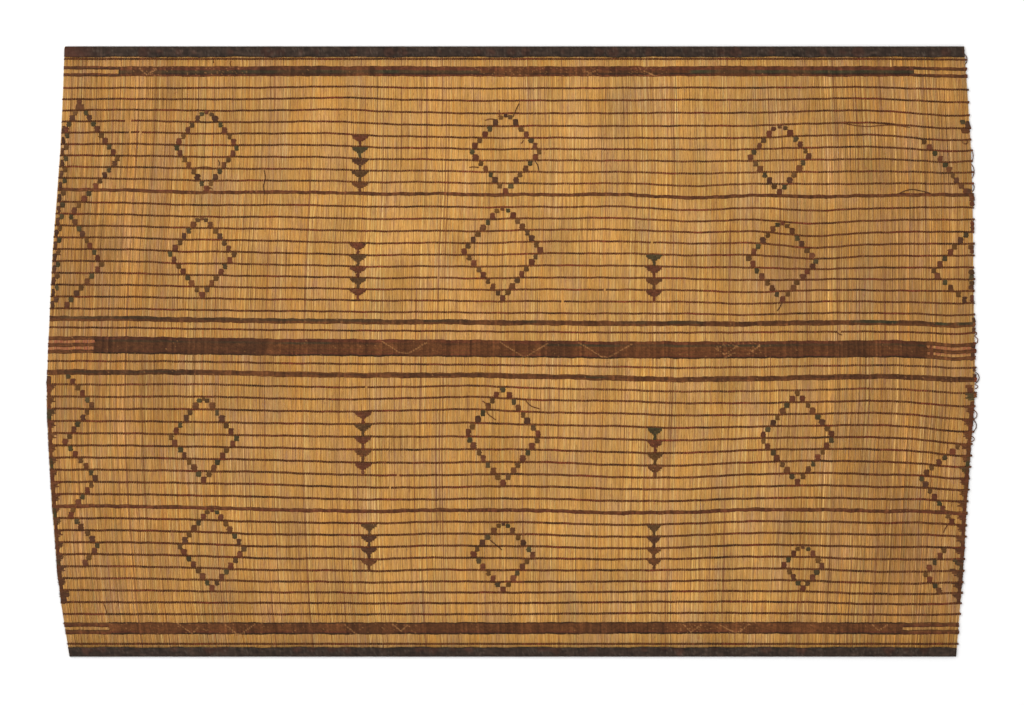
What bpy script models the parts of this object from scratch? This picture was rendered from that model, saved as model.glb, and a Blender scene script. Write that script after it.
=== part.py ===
"""Reed mat bound with leather, lying flat. Metres, +Z up.

Slim grass stems lie side by side across the mat and make one stiff panel. Leather holds them: thin
thongs run round the panel from one side edge to the other, over the top and back underneath, with
two thick thongs, two narrow stripes and three broad woven bands among them, and a folded leather
binding closes each long edge over the ends of the stems.

X runs along the mat, across the stems. Y runs along the stems. The mat rests on its lower leather.
"""
import bmesh
import bpy
import numpy as np

# The mat
LENGTH = 2.664
WIDTH = 1.750
REED_THICKNESS = 0.0032
CLEARANCE = 0.0003

# Leather
BAND_LEATHER = 0.0010
THONG_LEATHER = 0.0007
EDGE_TURN = 0.0016
BINDING_TOP_DEPTH = 0.0315
BINDING_BOTTOM_DEPTH = 0.0280

# Levels above the floor
PANEL_LOW = BAND_LEATHER + CLEARANCE
PANEL_HIGH = PANEL_LOW + REED_THICKNESS
PANEL_HALF_LENGTH = LENGTH / 2 - EDGE_TURN - BAND_LEATHER / 2
PANEL_HALF_WIDTH = WIDTH / 2 - EDGE_TURN - BAND_LEATHER / 2

# How far the side edges draw in from the longest place: height above the middle, left, right
EDGES = np.array((
    (-0.875, 0.066, 0.055),
    (-0.775, 0.049, 0.048),
    (-0.637, 0.031, 0.035),
    (-0.500, 0.020, 0.028),
    (-0.294, 0.006, 0.014),
    (-0.087, 0.000, 0.000),
    (0.085, 0.008, 0.004),
    (0.291, 0.017, 0.006),
    (0.497, 0.034, 0.009),
    (0.703, 0.045, 0.020),
    (0.875, 0.051, 0.032),
))

# How far the rows sag from straight as they cross the mat: place along X, sag
SAG = np.array((
    (-1.340, 0.0000),
    (-1.100, 0.0010),
    (-0.780, 0.0060),
    (-0.260, 0.0095),
    (0.430, 0.0150),
    (0.860, 0.0122),
    (1.340, 0.0130),
))
# The sag grows from nothing to its full size between these distances from a long edge
SAG_STARTS = 0.11
SAG_FULL = 0.25
# Places where the weaver's hand pulled the rows up or let them drop: middle along X and along Y, how far
# the place reaches each way along X and along Y, all in centimetres, and the drop in millimetres
PULLS = (
    (-50, 67, 27, 17, -8),
    (-101, 65, 32, 10, -4),
    (-72, 62, 16, 12, -4),
    (97, 64, 24, 17, -9),
    (58, 72, 14, 13, -4),
    (126, 71, 13, 21, 7),
    (-3, 68, 20, 16, 3),
    (-92, 43, 32, 13, 6),
    (-42, 32, 40, 20, 7),
    (51, 45, 26, 13, 7),
    (87, 35, 21, 17, 13),
    (21, 36, 17, 17, -5),
    (126, 29, 20, 29, 7),
    (-78, 25, 32, 17, 2),
    (73, 18, 16, 13, 8),
    (-85, -10, 27, 13, -5),
    (-9, -14, 26, 11, -10),
    (-35, -15, 14, 9, -4),
    (22, -17, 14, 16, -5),
    (60, -10, 26, 17, 6),
    (126, -20, 16, 23, 8),
    (136, -22, 14, 26, 8),
    (-42, -36, 21, 20, 7),
    (41, -31, 32, 19, 9),
    (90, -28, 20, 20, -3),
    (-65, -55, 32, 20, 6),
    (33, -50, 23, 13, 5),
    (74, -53, 20, 17, -6),
    (54, -68, 63, 16, -6),
    (109, -65, 21, 17, 5),
    (130, -48, 9, 14, 6),
)

# Broad bands and stripes: name, middle from the top edge, width, open length left, open length right,
# the rows that the band parts into there, and the width of such a row
BANDS = (
    ("band_top", 0.0725, 0.0290, 0.155, 0.150, 2, 0.0088),
    ("thick_thong_upper", 0.4100, 0.0086, 0.0, 0.0, 1, 0.0086),
    ("stripe_upper", 0.7800, 0.0130, 0.0, 0.0, 1, 0.0130),
    ("band_centre", 0.8555, 0.0490, 0.130, 0.145, 3, 0.0108),
    ("stripe_lower", 0.9340, 0.0130, 0.0, 0.0, 1, 0.0130),
    ("thick_thong_lower", 1.3175, 0.0086, 0.0, 0.0, 1, 0.0086),
    ("band_bottom", 1.6680, 0.0340, 0.120, 0.160, 2, 0.0130),
)
# A band stays whole for this length round the side edge
EDGE_TAB = 0.006

# Fields of thin thongs: first thong from the top edge, pitch, how many
THONG_FIELDS = (
    (0.0370, 0.0000, 1),
    (0.1200, 0.0322, 9),
    (0.4455, 0.0340, 10),
    (0.8060, 0.0000, 1),
    (0.9020, 0.0000, 1),
    (0.9690, 0.0349, 10),
    (1.3520, 0.0344, 9),
    (1.7125, 0.0000, 1),
)
THONG_WIDTH = 0.0050

# Steps in the shapes
EDGE_STEPS = 20
RUN_STEPS = 10
TURN_STEPS = 5
# Bends of a row, as shares of its way across
RUN_SHARES = (0.0, 0.08, 0.16, 0.235, 0.31, 0.385, 0.46, 0.535, 0.61, 0.685, 0.76, 0.83, 0.895, 0.95, 1.0)

# Colour and roughness of each material
FINISHES = {
    "reed": ((0.58, 0.42, 0.21), 0.55),
    "binding_leather": ((0.020, 0.014, 0.011), 0.60),
    "band_leather": ((0.075, 0.030, 0.016), 0.65),
    "thong_leather": ((0.110, 0.045, 0.020), 0.60),
}


def smooth_through(places, values, at):
    """Smooth curve through the values at the places, read at one or more points"""
    slopes = np.gradient(values, places)
    left = np.clip(np.searchsorted(places, at) - 1, 0, len(places) - 2)
    span = places[left + 1] - places[left]
    t = np.clip((at - places[left]) / span, 0.0, 1.0)
    rise = 3 * t**2 - 2 * t**3
    start = values[left] * (1 - rise) + slopes[left] * span * (t**3 - 2 * t**2 + t)
    end = values[left + 1] * rise + slopes[left + 1] * span * (t**3 - t**2)
    return start + end


def edge_x(side, y):
    """Where the panel's left (-1) or right (+1) side edge lies at the height y"""
    column = 1 if side < 0 else 2
    inset = smooth_through(EDGES[:, 0], EDGES[:, column], np.asarray(y, float))
    return side * (PANEL_HALF_LENGTH - inset)


def pulled(x, y):
    """How far the pulls let a row drop at a place: each one fully at its middle and not at all where its
    reach ends, by the square of what is left of 1 when the squared distance is taken off"""
    drop = 0.0
    for middle_x, middle_y, reach_x, reach_y, depth in PULLS:
        along = np.clip(abs(x - middle_x / 100) / (reach_x / 100), 0.0, 1.0)
        up = np.clip(abs(y - middle_y / 100) / (reach_y / 100), 0.0, 1.0)
        drop += depth / 1000 * (1 - along**2) ** 2 * (1 - up**2) ** 2
    return drop


def row_y(x, from_top):
    """Height of a row that starts this far from the top edge, with its sag and pulls"""
    from_edge = min(from_top, WIDTH - from_top)
    share = np.clip((from_edge - SAG_STARTS) / (SAG_FULL - SAG_STARTS), 0.0, 1.0)
    weight = 3 * share**2 - 2 * share**3
    sag = smooth_through(SAG[:, 0], SAG[:, 1], np.asarray(x, float))
    return WIDTH / 2 - from_top - weight * sag - pulled(x, WIDTH / 2 - from_top)


def turn(low, high):
    """Steps of a leather's turn round an edge, as (out, z), from the upper level to the lower one"""
    angles = np.linspace(0.0, np.pi, TURN_STEPS + 1)[1:-1]
    middle = (low + high) / 2
    return [(EDGE_TURN * np.sin(a), middle + (high - middle) * np.cos(a)) for a in angles]


def levels(leather):
    """Middle of a leather's lower and upper run, clear of the panel by CLEARANCE"""
    return PANEL_LOW - CLEARANCE - leather / 2, PANEL_HIGH + CLEARANCE + leather / 2


def make_material(name):
    """Plain finish in the leather's or the reed's own colour"""
    colour, roughness = FINISHES[name]
    material = bpy.data.materials.new(name)
    material.use_nodes = True
    shader = material.node_tree.nodes["Principled BSDF"]
    shader.inputs["Base Color"].default_value = (*colour, 1.0)
    shader.inputs["Roughness"].default_value = roughness
    shader.inputs["Metallic"].default_value = 0.0
    return material


def leather_sheet(name, points, closed, thickness, material, left_out=()):
    """Sheet of leather through a grid of points, points[along][across], made solid.
    closed joins the last row to the first, and left_out names faces (along, across) that are open."""
    along, across = len(points), len(points[0])
    steps = along if closed else along - 1
    mesh = bmesh.new()
    bmesh.ops.create_grid(mesh, x_segments=steps, y_segments=across - 1, size=0.5)
    opened = []
    for face in mesh.faces:
        middle = face.calc_center_median()
        spot = (int((middle.x + 0.5) * steps), int((middle.y + 0.5) * (across - 1)))
        if spot in left_out:
            opened.append(face)
    bmesh.ops.delete(mesh, geom=opened, context="FACES")
    for vertex in mesh.verts:
        i = round((vertex.co.x + 0.5) * steps) % along
        j = round((vertex.co.y + 0.5) * (across - 1))
        vertex.co = points[i][j]
    bmesh.ops.remove_doubles(mesh, verts=mesh.verts, dist=CLEARANCE / 10)
    data = bpy.data.meshes.new(name)
    mesh.to_mesh(data)
    mesh.free()
    sheet = bpy.data.objects.new(name, data)
    data.materials.append(material)
    solid = sheet.modifiers.new("Leather", "SOLIDIFY")
    solid.thickness = thickness
    solid.offset = 0.0
    solid.use_even_offset = True
    return sheet


def make_panel(material):
    """The stems side by side as one slab, with the mat's uneven side edges"""
    heights = np.linspace(-PANEL_HALF_WIDTH, PANEL_HALF_WIDTH, EDGE_STEPS + 1)
    right = [(edge_x(1, y), y) for y in heights]
    left = [(edge_x(-1, y), y) for y in heights[::-1]]
    outline = bpy.data.curves.new("reed_panel", "CURVE")
    outline.dimensions = "2D"
    outline.fill_mode = "BOTH"
    outline.extrude = REED_THICKNESS / 2
    spline = outline.splines.new("POLY")
    spline.points.add(len(right) + len(left) - 1)
    for point, (x, y) in zip(spline.points, right + left):
        point.co = (x, y, 0.0, 1.0)
    spline.use_cyclic_u = True
    outline.materials.append(material)
    panel = bpy.data.objects.new("reed_panel", outline)
    panel.location.z = (PANEL_LOW + PANEL_HIGH) / 2
    return panel


def make_binding(name, side, depth, material):
    """Leather folded over the ends of the stems along the top (+1) or the bottom (-1) edge"""
    low, high = levels(BAND_LEATHER)
    inner = side * (WIDTH / 2 - depth)
    fold = side * PANEL_HALF_WIDTH
    section = [(inner, high), (fold, high)]
    section += [(fold + side * out, z) for out, z in turn(low, high)]
    section += [(fold, low), (inner, low)]
    points = []
    for share in np.linspace(0.0, 1.0, RUN_STEPS + 1):
        row = []
        for y, z in section:
            edge_y = side * min(abs(y), PANEL_HALF_WIDTH)
            left, right = edge_x(-1, edge_y), edge_x(1, edge_y)
            row.append((left + share * (right - left), y, z))
        points.append(row)
    return leather_sheet(name, points, False, BAND_LEATHER, material)


def make_ring(name, from_top, width, leather, material, ends=(0.0, 0.0), rows=1, row_width=None):
    """Flat leather round the panel: across the top, round the right edge, back below, round the left.
    One with several rows parts into them near both ends, and the stems show between them."""
    low, high = levels(leather)
    whole = rows == 1
    row_width = row_width or width
    middles = np.linspace((width - row_width) / 2, (row_width - width) / 2, rows)
    offsets = [middle + side * row_width / 2 for middle in middles for side in (1, -1)]
    left = edge_x(-1, row_y(-LENGTH / 2, from_top))
    right = edge_x(1, row_y(LENGTH / 2, from_top))
    run = [left + share * (right - left) for share in RUN_SHARES]
    run[-1] = right
    if not whole:
        inner = np.linspace(left + ends[0], right - ends[1], RUN_STEPS)
        run = [left, left + EDGE_TAB, *inner, right - EDGE_TAB, right]
    bends = turn(low, high)
    stations = [(x, 0, 0.0, high) for x in run]
    stations += [(right, 1, out, z) for out, z in bends]
    stations += [(x, 0, 0.0, low) for x in reversed(run)]
    stations += [(left, -1, out, z) for out, z in reversed(bends)]
    points = []
    for x, side, out, z in stations:
        row = []
        for offset in offsets:
            y = float(row_y(x, from_top)) + offset
            at_edge = -1 if x == left else 1 if x == right else 0
            placed = edge_x(at_edge, y) + side * out if at_edge else x
            row.append((placed, y, z))
        points.append(row)
    opened = []
    if not whole:
        last = len(run) - 1
        below = len(run) + len(bends)
        spots = (1, last - 2, below + 1, below + last - 2)
        opened = [(spot, 2 * gap + 1) for spot in spots for gap in range(rows - 1)]
    return leather_sheet(name, points, True, leather, material, opened)


def make_thongs(material):
    """The thin thongs, numbered from the top edge down"""
    thongs = []
    for first, pitch, how_many in THONG_FIELDS:
        for step in range(how_many):
            name = f"thong_{len(thongs) + 1:02d}"
            from_top = first + step * pitch
            thongs.append(make_ring(name, from_top, THONG_WIDTH, THONG_LEATHER, material))
    return thongs


def main():
    for old in list(bpy.data.objects):
        bpy.data.objects.remove(old)
    mat = bpy.data.collections.new("reed_mat")
    bpy.context.scene.collection.children.link(mat)
    finishes = {name: make_material(name) for name in FINISHES}
    pieces = [make_panel(finishes["reed"])]
    binding = finishes["binding_leather"]
    pieces.append(make_binding("binding_top", 1, BINDING_TOP_DEPTH, binding))
    pieces.append(make_binding("binding_bottom", -1, BINDING_BOTTOM_DEPTH, binding))
    for name, from_top, width, open_left, open_right, rows, row_width in BANDS:
        band, ends = finishes["band_leather"], (open_left, open_right)
        pieces.append(make_ring(name, from_top, width, BAND_LEATHER, band, ends, rows, row_width))
    pieces += make_thongs(finishes["thong_leather"])
    for piece in pieces:
        mat.objects.link(piece)


main()
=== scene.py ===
"""Reed mat bound with leather, laid flat, faded and stained from use.

The plain mat is one panel of stems with flat leathers round it. Here the stems, twined thongs, woven
bands and folded bindings stand for those plain pieces, and the wrapped blocks, whipped edges, knots,
loops and loose ends are added in their places.

X runs along the mat, across the stems. Y runs along the stems. Metres, Z up.
"""
import math
from collections import namedtuple

import bpy
import numpy as np
from bpy.props import FloatProperty, FloatVectorProperty, IntProperty, PointerProperty
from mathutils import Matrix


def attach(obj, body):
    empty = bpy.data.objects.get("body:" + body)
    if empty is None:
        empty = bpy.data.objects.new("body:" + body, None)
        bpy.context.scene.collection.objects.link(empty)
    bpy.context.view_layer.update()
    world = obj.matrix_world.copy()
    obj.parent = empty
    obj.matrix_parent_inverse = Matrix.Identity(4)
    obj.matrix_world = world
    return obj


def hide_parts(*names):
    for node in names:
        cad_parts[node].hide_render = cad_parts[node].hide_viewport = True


bl_info = {
    "name": "Reed and leather mat",
    "version": (1, 0, 0),
    "blender": (4, 5, 0),
    "location": "View3D > Sidebar > Mat",
    "description": "Lays the stems, twines the leather and finishes the edges of a reed mat",
    "category": "Add Mesh",
}

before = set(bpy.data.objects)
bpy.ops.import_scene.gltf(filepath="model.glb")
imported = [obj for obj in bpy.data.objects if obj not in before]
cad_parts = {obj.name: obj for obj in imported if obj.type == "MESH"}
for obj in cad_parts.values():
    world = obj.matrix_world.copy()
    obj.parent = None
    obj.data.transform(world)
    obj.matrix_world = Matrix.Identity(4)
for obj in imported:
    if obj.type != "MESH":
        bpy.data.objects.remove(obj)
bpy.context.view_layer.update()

MM = 0.001

# Places in the tables below are pixels of the reference photograph, 1024 across and 705 down. Motifs, bars,
# loops and loose ends were read off enlarged views of it. SAGS was fitted to where the rows lie in
# it, and the stained, green and dark places to its tones.
# A pixel's length on the mat, and the pixels at the middle of the mat and of the photograph
PIXEL = 2.8642 * MM
MIDDLE_PIXEL = (511.0, 351.5)
PHOTO_MIDDLE = (512.0, 352.5)
# The pixel down that parts the upper field from the lower one
FIELDS_PART = 340.0

# Diamonds: pixel across and down of the side tips, then half width, rise and fall in pixels, the
# colours of the left and the right blocks in the upper halves of the spaces, from the top down, and of
# the thin block that closes the top. Where none is given, the first block on the left does that
DIAMONDS = (
    (206.5, 147.0, 31.5, 34.0, 42.0, "gkogoog", "kgogogo", "r"),
    (202.0, 255.0, 32.0, 36.0, 41.0, "kgogogo", "kokogok", "b"),
    (203.5, 438.0, 32.5, 38.0, 43.0, "gogogog", "kgogogo", "o"),
    (212.0, 548.0, 32.0, 38.0, 41.0, "ogokgog", "gogkkgk", "r"),
    (505.5, 151.5, 34.5, 35.5, 40.5, "ogogogo", "kogogog", "d"),
    (502.5, 251.0, 38.5, 43.0, 47.8, "ogokokok", "gokokoko", "b"),
    (503.0, 436.0, 37.0, 48.0, 48.0, "gogogogo", "gokogok", ""),
    (503.0, 554.0, 30.0, 29.0, 37.0, "ogogog", "gogogo", "d"),
    (779.5, 156.5, 29.5, 30.5, 36.5, "rkgkgo", "kgogog", "b"),
    (782.5, 260.5, 34.5, 36.5, 39.5, "gogogog", "ogogroo", "r"),
    (797.5, 437.5, 36.5, 44.5, 45.5, "ogogogog", "ogogogo", ""),
    (803.0, 565.5, 19.0, 18.5, 23.5, "ogog", "gogk", "b"),
)
# Where a block lies in the space between two thongs, from and to as shares: in the upper half, in the
# lower half, in the middle of a diamond's top, and beside that
SPANS = ((0.0, 0.48), (0.45, 1.0), (-0.02, 0.3), (0.12, 0.48))
# Columns of triangles: pixel across and down where the first hangs, their size, and the colour of each
TRIANGLE_COLUMNS = (
    (360.0, 132.0, 1.0, "rgdkb"),
    (358.0, 240.0, 1.0, "rkrkr"),
    (363.0, 409.0, 1.0, "rkrbr"),
    (369.0, 520.0, 0.95, "kddb"),
    (654.0, 253.0, 1.0, "grbr"),
    (655.0, 426.0, 0.9, "grob"),
    (654.0, 523.0, 0.8, "kdbb"),
)
# Half widths of a triangle's bars from the thong down, and of its stem, in pixels
TRIANGLE_BARS = (8.0, 7.3, 5.5, 3.2)
TRIANGLE_STEM = 1.55
# How much of the space between two thongs the bars take, and about how wide one of their stitches is
TRIANGLE_SHARE = 0.54
STITCH = 8.9 * MM

# Zigzags near the side edges: whether their greens fall where a diamond's left (-1) or right (1) side has
# them, the colours in the upper halves of the spaces where they differ from that, and the pixels across
# and down at the turns
ZIGZAGS = (
    (-1, "", ((80.0, 104.0), (65.5, 130.0))),
    (-1, "ggogogogoggogogog", ((80.0, 104.0), (118.0, 160.0), (70.0, 216.0), (102.0, 264.0), (66.0, 306.5))),
    (-1, "", ((68.0, 376.0), (92.0, 405.0), (65.0, 442.0), (96.0, 479.0), (70.0, 514.0))),
    (-1, "", ((70.0, 514.0), (98.0, 546.0), (85.0, 563.0))),
    (1, "oggob", ((921.0, 139.0), (939.0, 157.0), (956.0, 180.0), (972.0, 198.0))),
    (1, "", ((968.0, 232.5), (932.8, 272.0), (968.0, 303.0))),
    (-1, "", ((959.0, 444.0), (921.0, 479.0), (952.0, 521.0))),
    (1, "", ((946.0, 548.0), (925.0, 574.0), (940.0, 592.0))),
)

# Side edges whipped with leather: side, pixels down from and to, width, where the fringe begins and how
# far in it goes, and the middles of the green lengths
WHIPPED_EDGES = (
    (-1, 376.0, 604.0, 5.2, 380.0, 8.8, (414.0, 463.0, 513.0, 560.0)),
    (1, 401.0, 604.0, 5.0, 391.0, 10.0, (393.0, 462.0, 565.0)),
)
# Stitches of the fringe below each thong: from and to as shares of the space, and length
FRINGE = ((0.02, 0.17, 1.0), (0.19, 0.31, 0.86), (0.33, 0.44, 0.9), (0.47, 0.57, 0.66))
# The left edge above: pixels down from and to, and the colour of the block in each space between thongs
TIED_EDGE = (131.0, 310.0, "gogogoggogogogd")

# Bars of leather at the side edges, a few stems wide: pixels across and down of two corners, colour
BARS = (
    (77.0, 100.0, 82.0, 104.5, "r"),
    (78.0, 104.5, 83.0, 109.0, "r"),
    (61.8, 126.0, 65.0, 133.0, "d"),
    (46.5, 376.0, 51.0, 385.0, "d"),
    (61.5, 592.5, 69.5, 597.0, "d"),
    (61.0, 597.0, 67.0, 603.0, "d"),
    (959.8, 119.8, 965.6, 124.2, "g"),
    (965.0, 121.0, 970.2, 129.0, "d"),
    (961.0, 128.6, 970.2, 133.4, "b"),
    (966.0, 188.8, 971.5, 194.0, "d"),
    (969.0, 196.0, 975.0, 201.0, "r"),
    (969.5, 201.5, 974.8, 206.0, "r"),
    (970.0, 221.0, 974.5, 226.0, "r"),
    (970.5, 226.0, 974.5, 231.0, "r"),
    (968.0, 245.0, 974.0, 249.0, "b"),
    (970.0, 249.0, 974.0, 253.5, "r"),
    (968.6, 269.6, 974.4, 274.6, "k"),
    (969.4, 274.8, 974.4, 280.0, "g"),
    (969.4, 281.0, 974.4, 285.0, "k"),
    (968.4, 285.2, 974.0, 289.6, "d"),
    (970.0, 295.0, 974.0, 302.0, "r"),
    (930.0, 345.0, 932.4, 357.5, "r"),
    (972.0, 317.5, 975.6, 322.5, "d"),
    (971.8, 327.5, 975.6, 332.5, "d"),
    (970.5, 343.5, 975.6, 348.4, "d"),
    (971.0, 349.0, 974.3, 352.4, "r"),
    (971.3, 352.6, 975.0, 357.0, "d"),
    (970.3, 357.2, 973.8, 360.6, "r"),
    (972.5, 367.0, 976.0, 371.5, "d"),
    (973.0, 374.0, 976.3, 378.0, "d"),
    (965.0, 384.8, 972.6, 388.0, "b"),
    (967.0, 387.6, 973.4, 392.4, "r"),
    (973.0, 393.4, 977.0, 397.6, "b"),
    (951.5, 571.0, 958.0, 574.0, "b"),
    (949.5, 568.8, 956.0, 571.4, "d"),
    (952.5, 559.0, 958.0, 562.0, "g"),
    (955.0, 562.0, 961.0, 565.0, "g"),
)

# Thongs with one to three stitches missed: pixel across and down, pixels missed
MISSED = (
    (127.0, 120.0, 6.0),
    (129.0, 132.0, 2.0),
    (140.5, 132.0, 3.0),
    (439.0, 278.0, 2.5),
    (652.0, 244.0, 2.0),
    (605.0, 289.0, 2.5),
    (563.0, 300.0, 2.0),
    (367.0, 386.0, 2.5),
    (398.0, 475.0, 2.0),
    (390.0, 487.0, 2.5),
    (838.5, 331.0, 5.0),
)

# Light chevrons in the broad bands: band, then pixels across and down at their turns
CHEVRONS = (
    ("band_centre", (382.0, 341.5), (400.0, 352.5), (408.0, 353.5), (427.0, 342.5)),
    ("band_centre", (500.0, 342.0), (522.0, 356.0), (527.0, 356.5), (548.0, 343.0)),
    ("band_centre", (580.0, 343.0), (602.0, 357.0), (609.0, 357.0), (632.0, 344.0)),
    ("band_centre", (724.0, 344.5), (716.5, 349.0), (724.5, 354.5), (737.0, 346.0)),
    ("band_centre", (725.5, 357.5), (736.0, 352.0)),
    ("band_centre", (752.0, 351.5), (760.0, 345.0)),
    ("band_bottom", (178.0, 623.5), (192.0, 633.5), (200.0, 626.0)),
    ("band_bottom", (225.0, 624.5), (237.0, 634.0), (241.0, 634.0), (255.0, 624.0)),
    ("band_bottom", (344.0, 624.0), (356.0, 634.0)),
    ("band_bottom", (392.5, 624.0), (401.0, 631.0), (408.0, 624.5)),
    ("band_bottom", (684.0, 625.0), (691.0, 632.0), (701.5, 624.5)),
    ("band_bottom", (720.0, 625.0), (734.0, 632.0), (740.0, 631.5), (749.5, 624.0)),
    ("band_bottom", (872.5, 625.0), (879.0, 630.5), (887.0, 625.0)),
    ("band_top", (139.0, 68.0), (147.0, 75.0), (156.0, 69.0)),
    ("band_top", (585.0, 70.0), (593.0, 76.5)),
    ("band_top", (588.0, 75.5), (595.0, 70.5)),
    ("band_top", (644.0, 71.0), (655.0, 76.0)),
)

# Lengths of the broad bands where stems peep through: band, from and to across in pixels, how often
FRECKLES = (
    ("band_top", 135.0, 162.0, 0.04),
    ("band_top", 165.0, 240.0, 0.03),
    ("band_top", 470.0, 600.0, 0.04),
    ("band_top", 630.0, 665.0, 0.07),
    ("band_bottom", 100.0, 420.0, 0.015),
    ("band_bottom", 675.0, 760.0, 0.03),
    ("band_centre", 715.0, 762.0, 0.03),
)

# Lengths of the woven pieces that have darkened most: piece, from and to across in pixels, depth
DARK_LENGTHS = (
    ("band_centre", 93.0, 259.0, 0.5),
    ("band_centre", 545.0, 572.0, 0.2),
    ("band_centre", 750.0, 925.0, 0.2),
    ("band_bottom", 345.0, 520.0, 0.2),
    ("band_bottom", 585.0, 665.0, 0.2),
    ("band_top", 117.0, 240.0, 0.15),
    ("band_top", 240.0, 345.0, 0.25),
    ("stripe_lower", 60.0, 200.0, 0.4),
    ("stripe_lower", 840.0, 960.0, 0.3),
    ("stripe_upper", 120.0, 290.0, 0.2),
)

# Green lengths in the broad bands and stripes: band, from and to across in pixels, how deep it goes
GREEN_LENGTHS = (
    ("band_top", 117.0, 135.0, 1.0),
    ("band_top", 135.0, 240.0, 0.7),
    ("band_top", 240.0, 400.0, 1.0),
    ("band_top", 400.0, 480.0, 0.6),
    ("band_top", 690.0, 914.0, 1.0),
    ("band_centre", 110.0, 330.0, 0.6),
    ("band_centre", 545.0, 800.0, 0.7),
    ("band_centre", 800.0, 917.0, 0.35),
    ("band_centre", 917.0, 926.0, 1.0),
    ("stripe_upper", 60.0, 470.0, 0.4),
    ("stripe_upper", 524.0, 536.0, 0.5),
    ("stripe_upper", 617.0, 646.0, 0.7),
    ("stripe_upper", 668.0, 702.0, 0.6),
    ("stripe_upper", 850.0, 897.0, 0.9),
    ("stripe_upper", 935.0, 948.0, 0.9),
    ("stripe_upper", 957.0, 974.0, 0.7),
    ("stripe_lower", 60.0, 185.0, 0.5),
    ("stripe_lower", 585.0, 606.0, 0.6),
)

# Broad bands: whole length from and to in pixels, rows at the open ends and the width of each
BROAD_BANDS = (
    ("band_top", 117.0, 914.0, 2, 8.8 * MM),
    ("band_centre", 93.0, 925.0, 3, 10.8 * MM),
    ("band_bottom", 108.0, 902.0, 2, 13.0 * MM),
)
# Colour of each twined row of a band from its upper side down. Green ones are green in their lengths only
BAND_ROWS = {
    "band_top": "brrggdr",
    "band_centre": "rrggbbbrbbrd",
    "band_bottom": "dbbbbbrd",
    "stripe_upper": "ggb",
    "stripe_lower": "bgb",
    "thick_thong_upper": "rb",
    "thick_thong_lower": "br",
}

# How much wider than the plain leather each narrow weave has spread
SPREAD = {"stripe_upper": 1.1, "stripe_lower": 1.15, "thick_thong_upper": 1.1, "thick_thong_lower": 1.2}

# Thongs that share a piece: its name, and their numbers from the top edge
THONG_GROUPS = (
    ("thongs_beside_bindings", (1, 42)),
    ("thongs_upper_field_high", range(2, 11)),
    ("thongs_upper_field_low", range(11, 21)),
    ("thongs_beside_centre", (21, 22)),
    ("thongs_lower_field_high", range(23, 33)),
    ("thongs_lower_field_low", range(33, 42)),
)

# Worn and dirty places, and two that have stayed paler: pixel across and down of the middle, half
# width, half height, depth
STAINS = (
    (782.0, 262.0, 70.0, 66.0, 0.25),
    (890.0, 250.0, 100.0, 80.0, 0.07),
    (870.0, 505.0, 90.0, 105.0, 0.10),
    (935.0, 590.0, 75.0, 80.0, 0.20),
    (862.0, 478.0, 36.0, 30.0, 0.09),
    (877.0, 532.0, 14.0, 18.0, 0.13),
    (935.0, 518.0, 38.0, 20.0, 0.08),
    (85.0, 290.0, 75.0, 140.0, 0.10),
    (545.0, 265.0, 34.0, 60.0, 0.08),
    (400.0, 200.0, 420.0, 150.0, -0.09),
    (190.0, 500.0, 170.0, 120.0, -0.07),
    (160.0, 345.0, 110.0, 60.0, 0.05),
    (640.0, 110.0, 60.0, 40.0, 0.04),
)

# Weathering towards the side edges: side, distance from the middle from and to, depth
WEATHERED_SIDES = ((-1, 0.1, 1.35, 0.26), (1, 0.45, 1.35, 0.24))

# Places where the thongs hang lower than elsewhere: pixel across and down of the middle, half width,
# half height, and by how many pixels
SAGS = (
    (955.0, 440.0, 45.0, 75.0, 2.6),
    (830.0, 218.0, 110.0, 80.0, 2.0),
    (700.0, 220.0, 50.0, 70.0, 1.2),
    (480.0, 226.0, 65.0, 80.0, 1.8),
    (380.0, 165.0, 50.0, 60.0, 1.4),
    (380.0, 555.0, 50.0, 45.0, 1.6),
    (430.0, 480.0, 110.0, 28.0, 1.5),
    (810.0, 405.0, 70.0, 45.0, 1.3),
    (650.0, 378.0, 110.0, 15.0, 1.2),
    (950.0, 145.0, 35.0, 40.0, 1.8),
    (560.0, 194.0, 50.0, 30.0, 1.3),
    (880.0, 243.0, 35.0, 60.0, 1.2),
    (180.0, 255.0, 40.0, 20.0, 1.0),
    (380.0, 278.0, 40.0, 50.0, 1.0),
    (950.0, 328.0, 30.0, 35.0, 1.8),
    (885.0, 495.0, 40.0, 30.0, 1.2),
    (965.0, 354.0, 32.0, 14.0, 1.4),
)

# Loops of thong that stand out from the right edge, pixels down from and to, and out
EDGE_LOOPS = (
    (54.0, 65.0, 1.2),
    (149.0, 163.0, 1.2),
    (164.0, 179.0, 1.4),
    (183.0, 192.0, 1.0),
    (331.0, 336.0, 1.5),
    (336.0, 345.0, 2.4),
    (371.5, 384.0, 2.8),
    (384.5, 389.0, 1.8),
    (409.5, 420.0, 2.5),
    (419.0, 432.5, 2.7),
    (436.0, 442.0, 1.9),
)

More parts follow.
